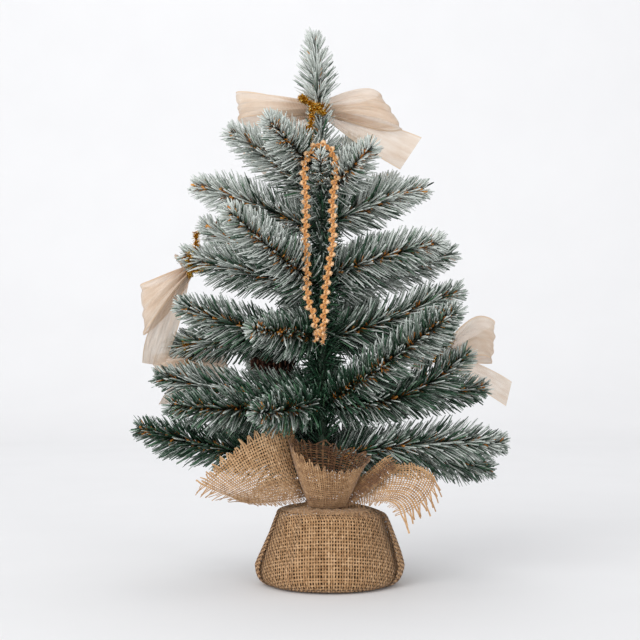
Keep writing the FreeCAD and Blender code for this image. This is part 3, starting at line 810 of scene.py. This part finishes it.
def sheet_surface(grid, width, length):
    """A smooth cloth surface through a grid of control points: (across, along) mm to (x, y, z) mm.

    Past its edges the surface runs on straight, at its real scale, for the loose thread ends."""
    grid = np.array(grid, float)
    rows, columns = grid.shape[:2]

    def inside(a, b):
        by_row = basis(rows, min(3, rows - 1), a / width)
        by_column = basis(columns, min(3, columns - 1), b / length)
        return np.einsum("pi,pj,ijk->pk", by_row, by_column, grid)

    def surface(a, b):
        a, b = np.broadcast_arrays(a, b)
        kind = a.shape
        a, b = a.ravel().astype(float), b.ravel().astype(float)
        near_a, near_b = np.clip(a, 0, width), np.clip(b, 0, length)
        point = inside(near_a, near_b)
        step = 0.5
        way_a = unit(inside(np.clip(near_a + step, 0, width), near_b)
                     - inside(np.clip(near_a - step, 0, width), near_b))
        way_b = unit(inside(near_a, np.clip(near_b + step, 0, length))
                     - inside(near_a, np.clip(near_b - step, 0, length)))
        point = point + way_a * (a - near_a)[:, None] + way_b * (b - near_b)[:, None]
        return point.reshape(kind + (3,))

    return surface


def add_threads(shape, surface, places, low, high, flip, random, keep, fray, droop, painted_shade):
    """One set of parallel threads of a plain weave, each a ridged ribbon, thinner where they crowd.

    The places are where the threads lie across the cloth, low and high the span that they run. The fray
    is how far their ends stand past that span, and the droop how those loose ends hang. The painted shade
    is how much darker the yarn's colour is painted (its second row) at places across the cloth (its
    first row), where that part of the cloth lies in shadow; below zero it paints the yarn lighter."""
    number = len(places)
    ends = (low - fray[0] * random.uniform(0.35, 1.0, number),
            high + fray[1] * random.uniform(0.35, 1.0, number))
    crossing = WARP_PITCH if flip else WEFT_PITCH
    before = math.ceil(fray[0] / crossing * 2) * crossing / 2
    steps = np.arange(low - before, high + fray[1] + 0.01, crossing / 2)
    run = np.broadcast_to(steps[None], (number, len(steps)))
    # Each thread wanders a little, and its loose ends are drawn to the middle of their bunch.
    wander = random.normal(0, 0.12, (number, 1)) + 0.16 * np.sin(
        steps[None] / random.uniform(9, 22, (number, 1)) + random.uniform(0, 6, (number, 1)))
    outside = np.maximum(np.maximum(low - run, run - high), 0)
    bunch = (np.arange(number) * LOOSE_BUNCH).astype(int)
    bunch_middle = np.array([places[bunch == own].mean() for own in bunch])
    cling = 0.75 * np.clip(outside / 6, 0, 1)
    across = places[:, None] + wander + (bunch_middle - places)[:, None] * cling
    a, b = (run, across) if flip else (across, run)
    point = surface(a, b)
    step = 0.6
    slope_a = surface(a + step, b) - surface(a - step, b)
    slope_b = surface(a, b + step) - surface(a, b - step)
    normal = unit(np.cross(slope_a, slope_b))
    # Over and under the crossing threads; past the last of them the ends splay and hang.
    order = np.arange(number)[:, None] + (0.5 if flip else -0.5)
    lift = np.where(outside > 0, 0, THREAD_LIFT * np.cos(math.pi * ((run - low) / crossing + order)))
    splay = 0.8 * random.normal(0, 1, (number, 1, 3)) * (outside[..., None] / 8) ** 1.2
    splay[..., 2] -= droop * (outside / 8) ** 2
    point = point + normal * lift[..., None] + splay
    heading = unit(np.gradient(point, axis=1))
    side = unit(np.cross(normal, heading))
    # Slubs make the yarn thicker and thinner, and it is pressed narrow where the cloth is gathered.
    width = THREAD_WIDTH * (1 + 0.09 * random.normal(0, 1, (number, 1)) + 0.12 * np.sin(
        steps[None] / random.uniform(2.5, 6, (number, 1)) + random.uniform(0, 6, (number, 1))))
    crowding = np.linalg.norm(slope_b if flip else slope_a, axis=-1) / (2 * step)
    width = (np.where(outside > 0, width * 0.95, width) * np.clip(crowding, 0.42, 1.12))[..., None]
    edge = normal * 0.26
    corners = np.stack([point - side * width / 2 - edge, point + edge, point + side * width / 2 - edge], 2)
    # Faces only where the thread is there, and only the vertices that they need.
    alive = (run >= ends[0][:, None]) & (run <= ends[1][:, None])
    if keep is not None:
        alive &= keep(a, b)
    index = np.arange(corners[..., 0].size).reshape(corners.shape[:3])
    quads = np.stack([index[:, :-1, :-1], index[:, :-1, 1:], index[:, 1:, 1:], index[:, 1:, :-1]], -1)
    quads = quads[alive[:, :-1] & alive[:, 1:]].reshape(-1, 4)
    used = np.zeros(index.size, bool)
    used[quads] = True
    renumber = np.cumsum(used) - 1
    # Painted shade: the yarn's tone is lowered where the cloth lies in shadow, and raised as painted light
    # where the amount is below zero.
    painted_darkening = np.interp(a, *painted_shade)[..., None]
    tone = np.broadcast_to(random.uniform(0, 1, (number, 1, 1)) - painted_darkening, index.shape).ravel()
    shape.add(corners.reshape(-1, 3)[used], [renumber[quads]], tone=tone[used])


def add_weave(shape, surface, width, length, random, keep=None, fray_a=(0, 0), fray_b=(0, 0),
              origin=(0.0, 0.0), droop=0.3, painted_shade=NO_PAINTED_SHADE):
    """A plain weave over a cloth of this flat size: warp along b and weft along a."""
    warps = origin[0] + WARP_PITCH * (0.5 + np.arange(int(width / WARP_PITCH)))
    wefts = origin[1] + WEFT_PITCH * (0.5 + np.arange(int(length / WEFT_PITCH)))
    low_a, high_a = origin[0], origin[0] + width
    low_b, high_b = origin[1], origin[1] + length
    add_threads(shape, surface, warps, low_b, high_b, False, random, keep, fray_b, droop, painted_shade)
    add_threads(shape, surface, wefts, low_a, high_a, True, random, keep, fray_a, droop, painted_shade)


# The bag's profile, from the neck over the shoulder and down to the underside: radius and height.
BAG_PROFILE = ((12.5, 73.0), (17, 69.5), (27, 68.5), (37, 67.5), (43, 65.5), (46, 61.5), (48, 55),
               (54.2, 38), (59.2, 24), (61.6, 14), (61.4, 7), (58.8, 2.6), (54, 0.9), (47, 0.6))
# The ring round which the shoulder's gathered cloth is laid.
SHOULDER_RADIUS = 46.0
# The weight and its cloth stand a little to the right of the trunk.
BASE_SHIFT = 6.5


def base_shift(height):
    """How far right of the trunk the bag's middle is at a height: none at the neck."""
    return BASE_SHIFT * np.clip((72 - height) / 10, 0, 1)


def make_cement(material):
    """The cast weight inside the bag: a round block that narrows upwards, with rounded edges."""
    profile = smooth_line([(0.01, 0, 2), (30, 0, 2), (51, 0, 2.4), (58, 0, 6), (58.8, 0, 13), (56.2, 0, 24),
                           (51.2, 0, 38), (45, 0, 56), (43.5, 0, 57.4), (30, 0, 57.4), (3.1, 0, 57.4)], 60)
    turn = np.linspace(0, 2 * math.pi, 97)
    points = np.stack([profile[:, None, 0] * np.cos(turn) + BASE_SHIFT, profile[:, None, 0] * np.sin(turn),
                       profile[:, None, 2] + 0 * turn], -1)
    shape = Shape()
    shape.add(points, [grid_faces(len(profile), len(turn))])
    shape.build("cement_weight", [material], "trunk", ["cement_base"])


def edge_angle(right, height):
    """The angle from the front at which the back panel's folded edge lies."""
    foot, top = np.where(right, math.radians(62), math.radians(72)), math.radians(79)
    return foot + (top - foot) * np.clip(height / 60, 0, 1)


def fold_depth(right, height):
    """How far the folded edge stands out: most of it low down, and on the right up to the top."""
    rise = (0, 8, 18, 30, 45, 55, 62, 66)
    return np.where(right, np.interp(height, rise, (0, 2.5, 6, 6, 5.5, 5, 4, 1)),
                    np.interp(height, rise, (0, 2, 4.5, 2.5, 1, 0.8, 0.5, 0.3)))


def front_bulge(angle, height):
    """The front panel has soft upright creases low down, and fills out a little under the folds."""
    ridge = 2.2 * np.exp(-np.abs(angle + 0.53) / 0.07)
    dip = 1.7 * np.exp(-((angle + 0.74) / 0.15) ** 2)
    swell = 0.8 * np.exp(-((angle - 0.5) / 0.16) ** 2)
    under = np.clip((np.abs(angle) - 1.38) / 0.2, 0, 1) ** 2
    return (0.3 + (ridge - dip + swell) * np.clip(height / 30, 0, 1)
            + 0.8 * under * fold_depth(angle > 0, height))


def back_bulge(angle, height):
    """The folded edges stand out at the sides and turn in against the front panel."""
    past = math.pi - np.abs(angle) - edge_angle(angle < 0, height)
    roll = math.radians(8)
    rise = 0.5 + 0.5 * np.clip(past / roll, 0, 1)
    fall = np.clip(1 - (past - roll) / math.radians(38), 0, 1)
    return 1.4 + fold_depth(angle < 0, height) * np.sin(rise * math.pi / 2) * fall * fall * (3 - 2 * fall)


def make_burlap_bag(material):
    """The cloth round the base: a front and a back panel whose edges fold over at the sides.

    Each panel is rolled from a flat ring round the tip of the base's cone, so its threads run straight."""
    foot_radius, top_radius, side_height = 65.0, 47.0, 60.0
    slope = math.atan2(foot_radius - top_radius, side_height)
    rim = top_radius / math.sin(slope)
    profile = smooth_line([(r, 0, z) for r, z in BAG_PROFILE], 200)
    walked = walked_along(profile)
    rim_at = walked[np.argmin(np.abs(profile[:, 2] - side_height))]

    def on_profile(place):
        return [np.interp(place, walked, profile[:, axis]) for axis in (0, 2)]

    def on_cone(a, b):
        """The angle from a panel's middle and the way along the profile of a place on its flat cloth."""
        return np.arctan2(a, b) / math.sin(slope), np.hypot(a, b) - rim + rim_at

    def wrapped(turn, radius, height):
        return np.stack([radius * np.sin(turn) + base_shift(height), -radius * np.cos(turn), height], -1)

    def panel(facing, bulge):
        def surface(a, b):
            angle, place = on_cone(a, b)
            radius, height = on_profile(place)
            return wrapped(facing + angle, radius + bulge(angle, height), height)

        return surface

    def shoulder(a, b):
        """Gathered top: a runs round, b in towards the neck; pleats deepen as the cloth crowds in."""
        turn = a / SHOULDER_RADIUS + math.pi
        radius, height = on_profile(rim_at - 8 - b)
        crowd = np.clip(b / 26, 0, 1)
        pleat = 1.5 * crowd * np.sin(17 * turn + 0.8 * np.sin(3 * turn)) + 0.6 * np.sin(5 * turn + 1)
        gathered = wrapped(turn, radius, height)
        gathered[..., 2] = height + pleat * crowd + 0.7
        return gathered

    def underside(a, b):
        return np.stack([a + BASE_SHIFT, b, np.full(np.shape(a), 1.0)], -1)

    random = np.random.default_rng(21)
    shape = Shape("tone")
    for facing, bulge, half in ((0, front_bulge, math.radians(98)), (math.pi, back_bulge, math.radians(110))):
        def keep(a, b, half=half, back=facing > 0):
            angle, place = on_cone(a, b)
            limit = half
            if back:
                limit = math.pi - edge_angle(angle < 0, on_profile(place)[1]) + 0.02
            return (np.abs(angle) < limit) & (place > rim_at - 11) & (place < walked[-1])

        reach = (rim + 75) * math.sin(half * math.sin(slope))
        near = (rim - 14) * math.cos(half * math.sin(slope))
        add_weave(shape, panel(facing, bulge), 2 * reach, rim + 75 - near, random, keep,
                  origin=(-reach, near))
    add_weave(shape, shoulder, 2 * math.pi * SHOULDER_RADIUS, 36, random)
    add_weave(shape, underside, 100, 100, random, lambda a, b: np.hypot(a, b) < 50, origin=(-50, -50))
    bag = shape.build("burlap_bag_cloth", [material], "trunk", ["burlap_bag"])


# Flaps of the loose cloth above the neck, as control points from the neck outwards, row by row across.
# The size is the flat cloth's, across and along; fray and painted shade are told at add_threads.
RUFFLE = {
    "burlap_fan": {
        "size": (100, 68), "fray_a": (13, 0), "fray_b": (9, 6), "droop": 0.2,
        # Painted shade on the fan's receding right roll, painted light on its front.
        "painted_shade": ((72, 98), (-0.6, 1.6)), "replaces": ["burlap_ruffle"],
        "grid": [
            [(-106, -42, 93), (-94, -50, 89), (-78, -44, 82), (-66, -34, 76)],
            [(-80, -47, 119), (-72, -58, 104), (-60, -52, 89), (-46, -36, 74)],
            [(-52, -44, 144), (-46, -56, 122), (-38, -48, 96), (-24, -26, 76)],
            [(-25, -24, 142), (-20, -27, 118), (-14, -21, 96), (-10, -10, 78)],
        ],
    },
    "burlap_cuff": {
        "size": (168, 60), "fray_a": (0, 0), "fray_b": (0, 9), "droop": 1.2,
        # Painted shade on the cuff's inner back wall, which lies in shadow behind its front lip.
        "painted_shade": ((26, 48, 116, 138), (2.7, 0.5, 0.5, 2.7)),
        "grid": [
            [(9, -9, 74), (10, -8, 98), (12, -12, 116), (14, -20, 124)],
            [(-8, -11, 73), (-15, -10, 98), (-20, -14, 118), (-22, -22, 130)],
            [(-13, -17, 72), (-22, -24, 94), (-28, -28, 116), (-31, -36, 131)],
            [(-9, -24, 71), (-15, -42, 86), (-21, -50, 104), (-24, -55, 117)],
            [(5, -27, 70), (6, -48, 84), (6, -56, 97), (5, -63, 103)],
            [(19, -24, 71), (25, -43, 84), (28, -50, 98), (29, -54, 104)],
            [(23, -17, 72), (31, -28, 92), (38, -32, 108), (46, -37, 115)],
            [(18, -11, 73), (23, -12, 96), (30, -17, 111), (36, -24, 118)],
            [(3, -9, 74), (2, -9, 98), (2, -13, 117), (2, -21, 125)],
        ],
    },
    "burlap_strap": {
        "size": (26, 68), "fray_a": (0, 0), "fray_b": (0, 6), "droop": 0.2,
        # Painted shade on the strap, deepest along its middle.
        "painted_shade": ((4, 13, 22), (1.0, 3.0, 1.0)),
        "grid": [
            [(8, -12, 70), (24, -24, 88), (40, -34, 106), (57, -36, 118)],
            [(12, -19, 71), (29, -34, 87), (45, -42, 103), (61, -42, 114)],
            [(17, -20, 69), (36, -36, 84), (51, -42, 98), (65, -42, 108)],
            [(19, -15, 67), (38, -28, 82), (53, -36, 94), (66, -38, 104)],
        ],
    },
    "burlap_drape": {
        "size": (48, 96), "fray_a": (4, 6), "fray_b": (0, 14), "droop": 1.8,
        # Painted light: the drape is painted a little lighter.
        "painted_shade": ((0,), (-0.2,)),
        "grid": [
            [(12, -10, 82), (40, -20, 106), (84, -34, 121), (99, -37, 98)],
            [(14, -13, 78), (44, -28, 98), (86, -46, 112), (98, -42, 86)],
            [(17, -14, 75), (46, -30, 84), (78, -42, 97), (86, -42, 72)],
            [(22, -12, 71), (46, -22, 74), (64, -36, 86), (68, -40, 66)],
        ],
    },
    "burlap_flap_rear_right": {
        "size": (62, 70), "fray_a": (4, 4), "fray_b": (0, 10), "droop": 0.8, "painted_shade": NO_PAINTED_SHADE,
        "grid": [
            [(10, 2, 78), (30, 8, 98), (52, 20, 100), (60, 34, 84)],
            [(9, 8, 78), (26, 24, 96), (42, 42, 98), (48, 54, 78)],
            [(4, 11, 77), (10, 30, 92), (20, 50, 94), (24, 62, 74)],
        ],
    },
    "burlap_flap_rear_left": {
        "size": (62, 70), "fray_a": (4, 4), "fray_b": (0, 10), "droop": 0.8, "painted_shade": NO_PAINTED_SHADE,
        "grid": [
            [(1, 12, 77), (-2, 30, 90), (-8, 50, 90), (-14, 60, 74)],
            [(-7, 10, 78), (-22, 24, 96), (-40, 36, 96), (-50, 44, 76)],
            [(-12, 3, 78), (-30, 6, 98), (-52, 12, 98), (-64, 18, 80)],
        ],
    },
}


def make_ruffle(material):
    """The corners of the cloth that stand out above the neck, each woven over its own curved surface."""
    for index, (name, flap) in enumerate(RUFFLE.items()):
        width, length = flap["size"]
        shape = Shape("tone")
        add_weave(shape, sheet_surface(flap["grid"], width, length), width, length,
                  np.random.default_rng(31 + index), fray_a=flap["fray_a"], fray_b=flap["fray_b"],
                  droop=flap["droop"], painted_shade=flap["painted_shade"])
        piece = shape.build(name, [material], "trunk", flap.get("replaces", ()))


def make_neck_tie(material):
    """Two turns of three-ply jute twine round the neck and a small knot at the right."""
    low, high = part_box("neck_tie")
    middle = (low.z + high.z) / 2 / MM
    shape = Shape("tone")
    reach, rise = 14.2, 2.6
    turn = np.linspace(0, 4 * math.pi + 0.6, 260)
    coil = np.stack([reach * np.cos(turn), reach * np.sin(turn),
                     middle - rise / 2 + rise * turn / turn[-1]], 1)
    knot = smooth_line([(14, -2, middle), (18, -3, middle + 3), (20, 1, middle + 1), (17, 3, middle - 2),
                        (16, -2, middle - 1), (19, -4, middle + 1), (20, -6, middle - 6)], 60)
    step, lay, ply_radius = 0.8, 5.0, 0.6
    for line in (coil, knot):
        fine = even_line(line, step)
        _, first, second = line_frames(fine)
        for ply in range(3):
            twist = np.arange(len(fine)) * step * 2 * math.pi / lay + ply * 2 * math.pi / 3
            offset = turned(first, second, twist)
            add_tube(shape, fine + offset * 0.55, ply_radius, 6, tone=0.4 + 0.2 * ply)
    shape.build("neck_twine", [material], "trunk", ["neck_tie"])


# ---------------------------------------------------------------- bows of sheer ribbon


def add_ribbon(shape, middles, halves, random, pleats=3.0, gather=4.4, rows=72, columns=36, ends=(1, 0)):
    """A strip of ribbon: middle points and half-width vectors, smoothed, with pleats where it is tied.

    ends says how strongly the cloth is gathered at its start and at its end."""
    share = np.linspace(0, 1, rows)
    weights = basis(len(middles), 3, share)
    middle, half = weights @ np.array(middles, float), weights @ np.array(halves, float)
    across = np.linspace(-1, 1, columns)
    points = middle[:, None] + half[:, None] * across[None, :, None]
    along = np.gradient(middle, axis=0)
    normal = unit(np.cross(along, half))
    crowd = ends[0] * np.exp(-share / 0.2) + ends[1] * np.exp(-(1 - share) / 0.2)
    phase = random.uniform(0, 6)
    fold = (np.arcsin(np.sin(math.pi * pleats * across[None] + phase + 2.5 * share[:, None])) * 0.7
            + 0.5 * np.cos(math.pi * 1.7 * pleats * across[None] + 2.1 * phase))
    wave = 0.6 * np.sin(7 * share[:, None] + 2.4 * across[None] + phase)
    lift = gather * crowd[:, None] * fold + wave * np.sin(math.pi * share)[:, None]
    points = points + normal[:, None] * lift[..., None]
    shape.add(points, [grid_faces(rows, columns)],
              along=np.repeat(share, columns), across=np.tile((across + 1) / 2, rows))


# Each bow: the body that it rides on, where its knot lies from its CAD box's left and top, and its
# strips of ribbon from the knot: middle points and half-width vectors, all in millimetres.
BOWS = {
    "top_bow": {
        "body": "trunk", "reach": (71, 17),
        "loops": [
            ([(-2, 0, 0), (-22, -6, 3), (-54, -9, 5), (-74, -4, 4), (-76, 4, 1), (-60, 10, -5),
              (-28, 6, -3), (-2, 1, -1)],
             [(0, 1, 3.5), (0, 4, 7), (-1, 9, 12), (-2, 11, 14), (-2, 11, 15), (-1, 8, 16), (0, 4, 9),
              (0, 1, 3.5)]),
            ([(2, 0, 0), (22, -6, 4), (48, -9, 5), (65, -5, -1), (67, 4, -3), (52, 10, -6), (26, 6, -5),
              (2, 1, -1)],
             [(0, 1, 3.5), (-2, 3, 9), (-6, 5, 15), (-10, 4, 17), (-10, 4, 17), (-6, 4, 15), (-2, 3, 8),
              (0, 1, 3.5)]),
        ],
        "tails": [
            ([(2, 2, -2), (24, 5, -13), (52, 8, -24), (84, 5, -40)],
             [(0.5, 0, 3.5), (3, 2, 9), (8, 3, 14), (10, 3, 15)]),
            ([(-2, 3, -2), (-24, 8, -16), (-46, 9, -30), (-60, 8, -50)],
             [(-0.5, 0, 3.5), (-3, 2, 8), (-8, 3, 12), (-10, 3, 10)]),
        ],
    },
    "left_bow": {
        "body": "upper_left_branch", "reach": (46, 34),
        "loops": [
            ([(-1, 0, -1), (-14, -6, -10), (-30, -9, -25), (-43, -5, -37), (-44, 3, -40), (-30, 8, -32),
              (-14, 5, -16), (-1, 1, -2)],
             [(-1.5, 1, 3.5), (-4, 4, 7), (-5, 6, 14), (-2, 5, 23), (-1, 5, 23), (-6, 4, 15), (-5, 3, 8),
              (-1.5, 1, 3.5)]),
            ([(-1, 0, 0), (-5, -3, 5), (-11, -4, 10), (-14, 2, 12), (-11, 6, 10), (-5, 4, 5),
              (-1, 1, 1)],
             [(-1, 2, 1), (-1, 5, 1.5), (-1.5, 7, 2), (-1.5, 7, 2), (-1.5, 7, 2), (-1, 5, 1.5), (-1, 2, 1)]),
        ],
        "tails": [
            ([(-1, 2, -3), (-14, 5, -26), (-28, 8, -60), (-34, 5, -88)],
             [(3, 1, 1.5), (10, 7, 0), (15, 10, -2), (8, 15, -2)]),
        ],
    },
    "right_bow": {
        "body": "mid_right_rear_branch", "reach": (60, 27),
        "loops": [
            ([(1, 0, 1), (10, -4, 9), (22, -7, 16), (37, -7, 21), (47, -3, 14), (47, 4, 11), (34, 8, 7),
              (16, 6, 3), (1, 1, -1)],
             [(0, 2, 3.5), (-2, 5, 12), (-3, 6, 15), (-5, 6, 20), (3, 5, 20), (1, 5, 18), (-1, 5, 14),
              (-1, 4, 9), (0, 2, 3.5)]),
            ([(-1, 0, 0), (-18, -5, 7), (-40, -7, 14), (-56, -3, 11), (-56, 5, 6), (-34, 7, 4),
              (-14, 5, 1), (-1, 1, 0)],
             [(0, 2, 3.5), (1, 5, 8), (2, 8, 11), (2, 9, 12), (2, 9, 12), (2, 8, 10), (1, 5, 7),
              (0, 2, 3.5)]),
        ],
        "tails": [
            ([(1, 2, -2), (20, 5, -12), (42, 8, -22), (62, 6, -36)],
             [(0.5, 0, 3.5), (2, 5, 9), (4, 9, 12), (4, 10, 11)]),
        ],
    },
    "rear_bow": {
        "body": "mid_left_rear_branch", "reach": (34, 6),
        "loops": [
            ([(-1, 0, 0), (-12, -5, 2), (-26, -7, -1), (-34, -2, -4), (-33, 4, -6), (-20, 7, -6),
              (-8, 4, -3), (-1, 1, -1)],
             [(0, 3, 3), (0, 8, 6), (-1, 12, 8), (-2, 13, 8), (-2, 13, 8), (-1, 12, 8), (0, 8, 5),
              (0, 3, 3)]),
            ([(1, 0, 0), (12, -5, 1), (26, -7, -1), (34, -2, -5), (33, 4, -7), (20, 7, -6), (8, 4, -3),
              (1, 1, -1)],
             [(0, 3, 3), (0, 8, 6), (1, 12, 8), (2, 13, 8), (2, 13, 8), (1, 12, 8), (0, 8, 5),
              (0, 3, 3)]),
        ],
        "tails": [
            ([(-1, 1, -2), (-6, 3, -14), (-12, 5, -26), (-20, 4, -39)],
             [(2, 1, 2), (6, 6, 1), (8, 12, -1), (8, 14, 0)]),
            ([(1, 1, -2), (6, 3, -14), (12, 5, -26), (18, 4, -41)],
             [(2, 1, -1), (6, 6, -1), (8, 12, 0), (8, 14, 2)]),
        ],
    },
}


WRAP_RADIUS = 4.2


def bow_knot(name):
    """Where a bow is tied, from the box of its CAD solid."""
    low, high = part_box(f"{name}_ribbon")
    left, up = BOWS[name]["reach"]
    return np.array([low.x / MM + left, (low.y + high.y) / 2 / MM, high.z / MM - up])


def make_bows(material):
    """Four bows, each one length of ribbon looped and gathered at its knot."""
    for index, (name, bow) in enumerate(BOWS.items()):
        knot = bow_knot(name)
        random = np.random.default_rng(50 + index)
        shape = Shape("along", "across")
        strips = [(loop, (1, 1)) for loop in bow["loops"]] + [(tail, (1, 0)) for tail in bow["tails"]]
        flat_length = 0
        for (middles, halves), ends in strips:
            add_ribbon(shape, np.array(middles) + knot, halves, random, ends=ends)
            flat_length += line_length(smooth_line(middles, 60))
        wrap_turn = np.linspace(0, 2 * math.pi, 9)[:-1]
        wrap = [(0, WRAP_RADIUS * math.cos(a), WRAP_RADIUS * math.sin(a)) for a in wrap_turn]
        wrap.append((0, WRAP_RADIUS, 0))
        add_ribbon(shape, np.array(wrap) + knot, [(3.5, 0, 0)] * 9, random, 2, 0.3, 40, 10, (0, 0))
        piece = shape.build(f"{name}_cloth", [material], bow["body"], [f"{name}_ribbon"])
        place_uv(piece)


def place_uv(thing):
    """Copy the along and across values of each vertex into a UV map, for the woven pattern."""
    mesh = thing.data
    layer = mesh.uv_layers.new(name="cloth")
    values = []
    for name in ("along", "across"):
        kept = np.zeros(len(mesh.vertices), np.float32)
        mesh.attributes[name].data.foreach_get("value", kept)
        values.append(kept)
    corners = np.zeros(len(mesh.loops), np.int32)
    mesh.loops.foreach_get("vertex_index", corners)
    layer.data.foreach_set("uv", np.stack([values[0][corners], values[1][corners]], 1).ravel())


# ---------------------------------------------------------------- tinsel ties

FOIL_TAPERS = (1, 0.9, 0.6)
FOIL_SECTION = ((-0.5, 0), (0.5, 0), (0, 0.12))


def add_tinsel(shape, line, random, density=17.0, length=3.8):
    """Short foil strips that bristle all round a fine wire."""
    fine = even_line(np.array(line, float), 1.0)
    total = len(fine) - 1.0
    number = int(density * total)
    distance = random.uniform(0, total, number)
    turn = random.uniform(0, 2 * math.pi, number)
    angle = np.radians(random.uniform(50, 110, number))
    root, heading, _, way = stand_out(fine, distance, turn, angle)
    across = unit(np.cross(way, heading + 0.6 * random.normal(0, 1, (number, 3))))
    add_blades(shape, root, way, across, length * random.uniform(0.6, 1.1, number),
               random.uniform(0.5, 0.95, number), random.normal(0, 0.6, (number, 3)), SHORT_STATIONS,
               FOIL_TAPERS, FOIL_SECTION, tone=random.random(number))
    add_tube(shape, fine, 0.45, 6, (0.3, 0.2, 1), tone=0.4)


def ring_line(centre, normal, radius, number=40):
    """A closed ring of points about a direction."""
    normal = unit(np.array(normal, float))
    first = unit(np.cross(normal, (0.3, 0.1, 1)))
    second = np.cross(normal, first)
    turn = np.linspace(0, 2 * math.pi, number)
    return centre + radius * turned(first, second, turn)


# Loose ends and cross-over turns of each tie, from its knot: control points in millimetres.
TIE_RUNS = {
    "top_bow": [
        [(0, -6, 0), (-14, -12, 6), (-17, -28, 7), (-12, -36, 4), (-4, -37, -4), (6, -24, -8), (2, -6, -2)],
        [(-6, -37, -2), (-6, -38, -12), (-8, -38, -22), (-8, -38, -34)],
        [(-8, -38, -22), (-12, -37, -21), (-17, -37, -25), (-19, -36, -34)],
    ],
    "left_bow": [[(0, -6, 2), (3, -14, 6), (7, -15, 14), (8, -14, 24), (7, -13, 33)],
                 [(0, -6, 0), (8, -16, -3), (14, -20, 0), (20, -20, 4)]],
    "right_bow": [[(0, -6, 0), (-8, -14, -2), (-16, -16, -6), (-24, -14, -10), (-32, -14, -9)]],
    "rear_bow": [[(0, -6, 0), (3, -8, -5), (4, -9, -11)]],
}


def make_ties(material):
    """Gold tinsel round each bow's knot and round what it hangs on, with loose ends."""
    for index, (name, runs) in enumerate(TIE_RUNS.items()):
        knot = bow_knot(name)
        random = np.random.default_rng(70 + index)
        shape = Shape("tone", "along")
        add_tinsel(shape, ring_line(knot, (1, 0, 0), 5.6), random)
        body = BOWS[name]["body"]
        if body == "trunk":
            held, heading = np.array([knot[0], 0, knot[2]]), np.array([0, 0, 1.0])
        else:
            line = branch_line(body.removesuffix("_branch"))
            nearest = np.argmin(np.linalg.norm(line - knot, axis=1))
            held, heading = line[nearest], unit(line[nearest] - line[nearest - 3])
        add_tinsel(shape, ring_line(held, heading, 6.2), random)
        toward = unit(held - knot)
        add_tinsel(shape, np.array([knot + toward * 4, held - toward * 4]), random)
        for run in runs:
            add_tinsel(shape, smooth_line(np.array(run, float) + knot, 60), random)
        shape.build(f"{name}_tinsel", [material], body, [f"{name}_tie"])


# ---------------------------------------------------------------- pine cone

SCALE_STATIONS = (0, 0.3, 0.6, 0.85, 0.95, 1)
SCALE_TAPERS = (0.4, 0.7, 1, 0.92, 0.7, 0.35)
SCALE_SECTION = ((-0.5, 0.04), (-0.25, -0.05), (0, -0.08), (0.25, -0.05),
                 (0.5, 0.04), (0.25, 0.09), (0, 0.12), (-0.25, 0.09))


def make_pine_cone(material):
    """Woody scales in a spiral round a tapering core, opening out from the tip to the stem."""
    low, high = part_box("pine_cone")
    stem = np.array([high.x, (low.y + high.y) / 2, (low.z + high.z) / 2]) / MM
    length = (high.x - low.x) / MM
    random = np.random.default_rng(81)
    number = 92
    share = (np.arange(number) + 0.5) / number
    turn = np.arange(number) * GOLDEN_TURN
    outline = np.interp(share, (0, 0.12, 0.35, 0.6, 0.85, 1), (6.5, 11, 13, 11.3, 6.8, 3))
    axis = np.array([-1.0, 0, 0])
    side = np.stack([np.zeros(number), np.cos(turn), np.sin(turn)], 1)
    angle = np.radians(np.interp(share, (0, 0.3, 0.7, 1), (88, 66, 48, 22)) + random.normal(0, 4, number))
    way = turned(axis, side, angle)
    across = np.cross(axis, side)
    root = stem + axis * (share * length * 0.86)[:, None] + side * (outline * 0.24)[:, None]
    lengths = outline * 0.8 / np.maximum(np.sin(angle), 0.45)
    shape = Shape("along", "tone")
    widths = np.interp(share, (0, 0.3, 1), (7.5, 9.5, 5))
    bends = -axis * 0.8 + side * 0.3
    add_blades(shape, root, way, across, lengths, widths, bends, SCALE_STATIONS, SCALE_TAPERS,
               SCALE_SECTION, tone=random.random(number))
    core = stem + axis * np.linspace(0, length * 0.93, 20)[:, None]
    add_tube(shape, core, np.interp(np.linspace(0, 1, 20), (0, 0.3, 1), (4, 5, 1.5)), 12, tone=0.0)
    shape.build("pine_cone_scales", [material], "mid_left_rear_branch", ["pine_cone"])


# ---------------------------------------------------------------- CAD nodes that stay


def dress_frame(materials):
    """Give every CAD node that shows its own material."""
    for name, material in materials.items():
        mesh = frame["nodes"][name].data
        mesh.materials.clear()
        mesh.materials.append(material)
        mesh.polygons.foreach_set("material_index", [0] * len(mesh.polygons))


def main():
    make_camera()
    make_garland(cord_material())
    make_stage()
    make_lights()
    steel = steel_material()
    make_foliage([needle_material(), film_material(), wire_material()])
    burlap = burlap_material()
    make_burlap_bag(burlap)
    make_ruffle(burlap)
    make_neck_tie(burlap)
    make_bows(ribbon_material())
    make_ties(tinsel_material())
    make_pine_cone(cone_material())
    make_cement(cement_material())
    dress_frame({"trunk_rod": steel, "trunk_wrap": tape_material(),
                 "branch_roots": steel, "binding_wires": steel, "pine_cone_wire": steel})


main()
